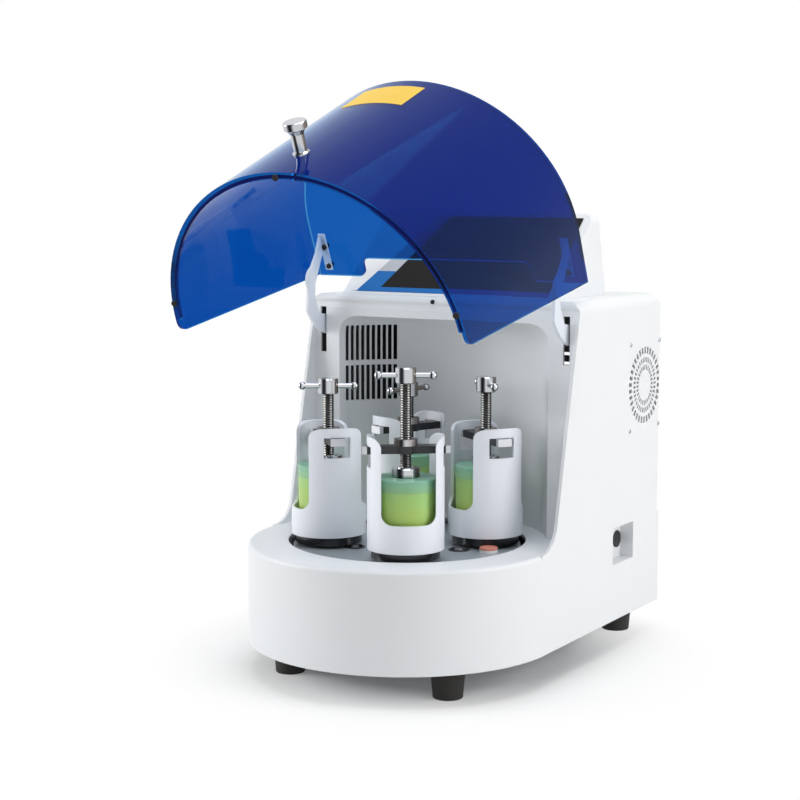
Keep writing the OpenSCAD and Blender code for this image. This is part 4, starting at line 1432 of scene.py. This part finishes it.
@dataclass
class Studio(SubAssembly):
    """Floor, backdrop, lamps and camera.

    Attributes:
        eye: Place of the camera.
        pitch: Angle by which the camera looks down, in radians.
        yaw: Turn of the camera about the upright axis, in radians.
        focal_pixels: Focal length that was fitted to the photograph, in its pixels.
        photo_pixels: Width of the photograph in pixels.
        sensor: Width of the camera's sensor in millimetres.
        view_end: Distance at which the camera stops seeing.
        glow_colour: Colour of the light from the surroundings.
        glow: Strength of the light from the surroundings.
        floor_reach: Half the side of the floor.
        floor_shades: The two shades of the floor's paper.
        paper_grain: Scale per metre of those shades.
        paper_roughness: Roughness of the paper.
        paper_middle: Place in plan round which the paper shows.
        paper_near: Distance at which the paper starts to turn white.
        paper_far: Distance at which it is white.
        lamps: The soft lamps.
    """

    eye: Point = (1.370656, -2.326642 + SHIFT_Y, 0.736502)
    pitch: float = math.radians(6.948)
    yaw: float = math.radians(30.731)
    focal_pixels: float = 1818.813
    photo_pixels: float = 800.0
    sensor: float = 36.0
    view_end: float = 50.0
    glow_colour: Colour = (0.99, 1.0, 1.0)
    glow: float = 0.26
    floor_reach: float = 6.0
    floor_shades: tuple[Colour, Colour] = ((0.93, 0.93, 0.93), (0.91, 0.91, 0.91))
    paper_grain: float = 40.0
    paper_roughness: float = 0.9
    paper_middle: Plan = (0.0, 0.05)
    paper_near: float = 0.20
    paper_far: float = 0.44
    lamps: tuple[Lamp, ...] = (
        Lamp("right_lamp", (3.0, 0.40, 1.3), 1.8, 49.0),
        Lamp("left_lamp", (-2.7, -1.5, 1.1), 1.6, 52.0),
        Lamp("top_lamp", (0.3, -0.3, 3.2), 2.0, 48.0),
    )

    def camera(self) -> bpy.types.Object:
        """Set the camera at the photograph's viewing angle.

        Returns:
            The camera.
        """
        data = bpy.data.cameras.new("camera")
        data.lens = self.focal_pixels / self.photo_pixels * self.sensor
        data.sensor_width = self.sensor
        data.clip_end = self.view_end
        view = bpy.data.objects.new("camera", data)
        view.location = self.eye
        view.rotation_euler = (math.pi / 2 - self.pitch, 0.0, self.yaw)
        bpy.context.scene.collection.objects.link(view)
        bpy.context.scene.camera = view
        return view

    def world(self) -> None:
        """White surroundings that light the machine gently."""
        world = bpy.data.worlds.new("surroundings")
        world.use_nodes = True
        tree = world.node_tree
        tree.nodes.clear()
        mix = tree.nodes.new("ShaderNodeMixShader")
        tree.links.new(any_ray(tree, *SEEING), mix.inputs[0])
        lights = ((self.glow_colour, self.glow), ((1.0, 1.0, 1.0), 1.0))
        for place, (colour, strength) in enumerate(lights, 1):
            light = tree.nodes.new("ShaderNodeBackground")
            light.inputs["Color"].default_value = (*colour, 1.0)
            light.inputs["Strength"].default_value = strength
            tree.links.new(light.outputs[0], mix.inputs[place])
        out = tree.nodes.new("ShaderNodeOutputWorld")
        tree.links.new(mix.outputs[0], out.inputs["Surface"])
        bpy.context.scene.world = world

    def paper(self) -> bpy.types.Material:
        """Pale paper that turns into the white background away from the machine.

        Returns:
            The finished material.
        """
        graph = Graph("floor_paper")
        shade = graph.span(graph.noise(self.paper_grain), 0.0, 1.0)
        graph.set(Base_Color=graph.mix(shade, *self.floor_shades), Roughness=self.paper_roughness)
        white = graph.tree.nodes.new("ShaderNodeEmission")
        far = graph.span(graph.reach(self.paper_middle), 0.0, 1.0, self.paper_near, self.paper_far)
        mix = graph.tree.nodes.new("ShaderNodeMixShader")
        graph.link(graph.math("MULTIPLY", far, any_ray(graph.tree, *SEEING)), mix.inputs[0])
        graph.link(graph.shader.outputs[0], mix.inputs[1])
        graph.link(white.outputs[0], mix.inputs[2])
        graph.link(mix.outputs[0], graph.output.inputs["Surface"])
        return graph.material

    def floor(self) -> bpy.types.Object:
        """Large pale floor under the feet.

        Returns:
            The floor.
        """
        mesh = bpy.data.meshes.new("floor")
        reach = self.floor_reach
        corners = [(-reach, -reach, 0), (reach, -reach, 0), (reach, reach, 0), (-reach, reach, 0)]
        mesh.from_pydata(corners, [], [(0, 1, 2, 3)])
        floor = bpy.data.objects.new("floor", mesh)
        bpy.context.scene.collection.objects.link(floor)
        mesh.materials.append(self.paper())
        return floor

    def build(self) -> list[bpy.types.Object]:
        """Set up camera, lamps, world and floor.

        Returns:
            The camera, the lamps and the floor.
        """
        view = self.camera()
        lamps = [lamp.hang() for lamp in self.lamps]
        self.world()
        return [view, *lamps, self.floor()]


def main() -> None:
    """Build the scene, one sub-assembly after the other, and report its pieces."""
    logging.basicConfig(level=logging.INFO)
    bpy.context.scene.view_settings.view_transform = "Standard"
    shop = Shop(Finishes())
    parts: list[SubAssembly] = [Studio(), Housing(shop), Hood(shop), Drive(shop)]
    parts += [Station(shop, number) for number in STATIONS]
    for part in parts:
        for piece in part.build():
            LOG.info("%s: %s", type(part).__name__.lower(), piece.name)


if __name__ == "__main__":
    main()
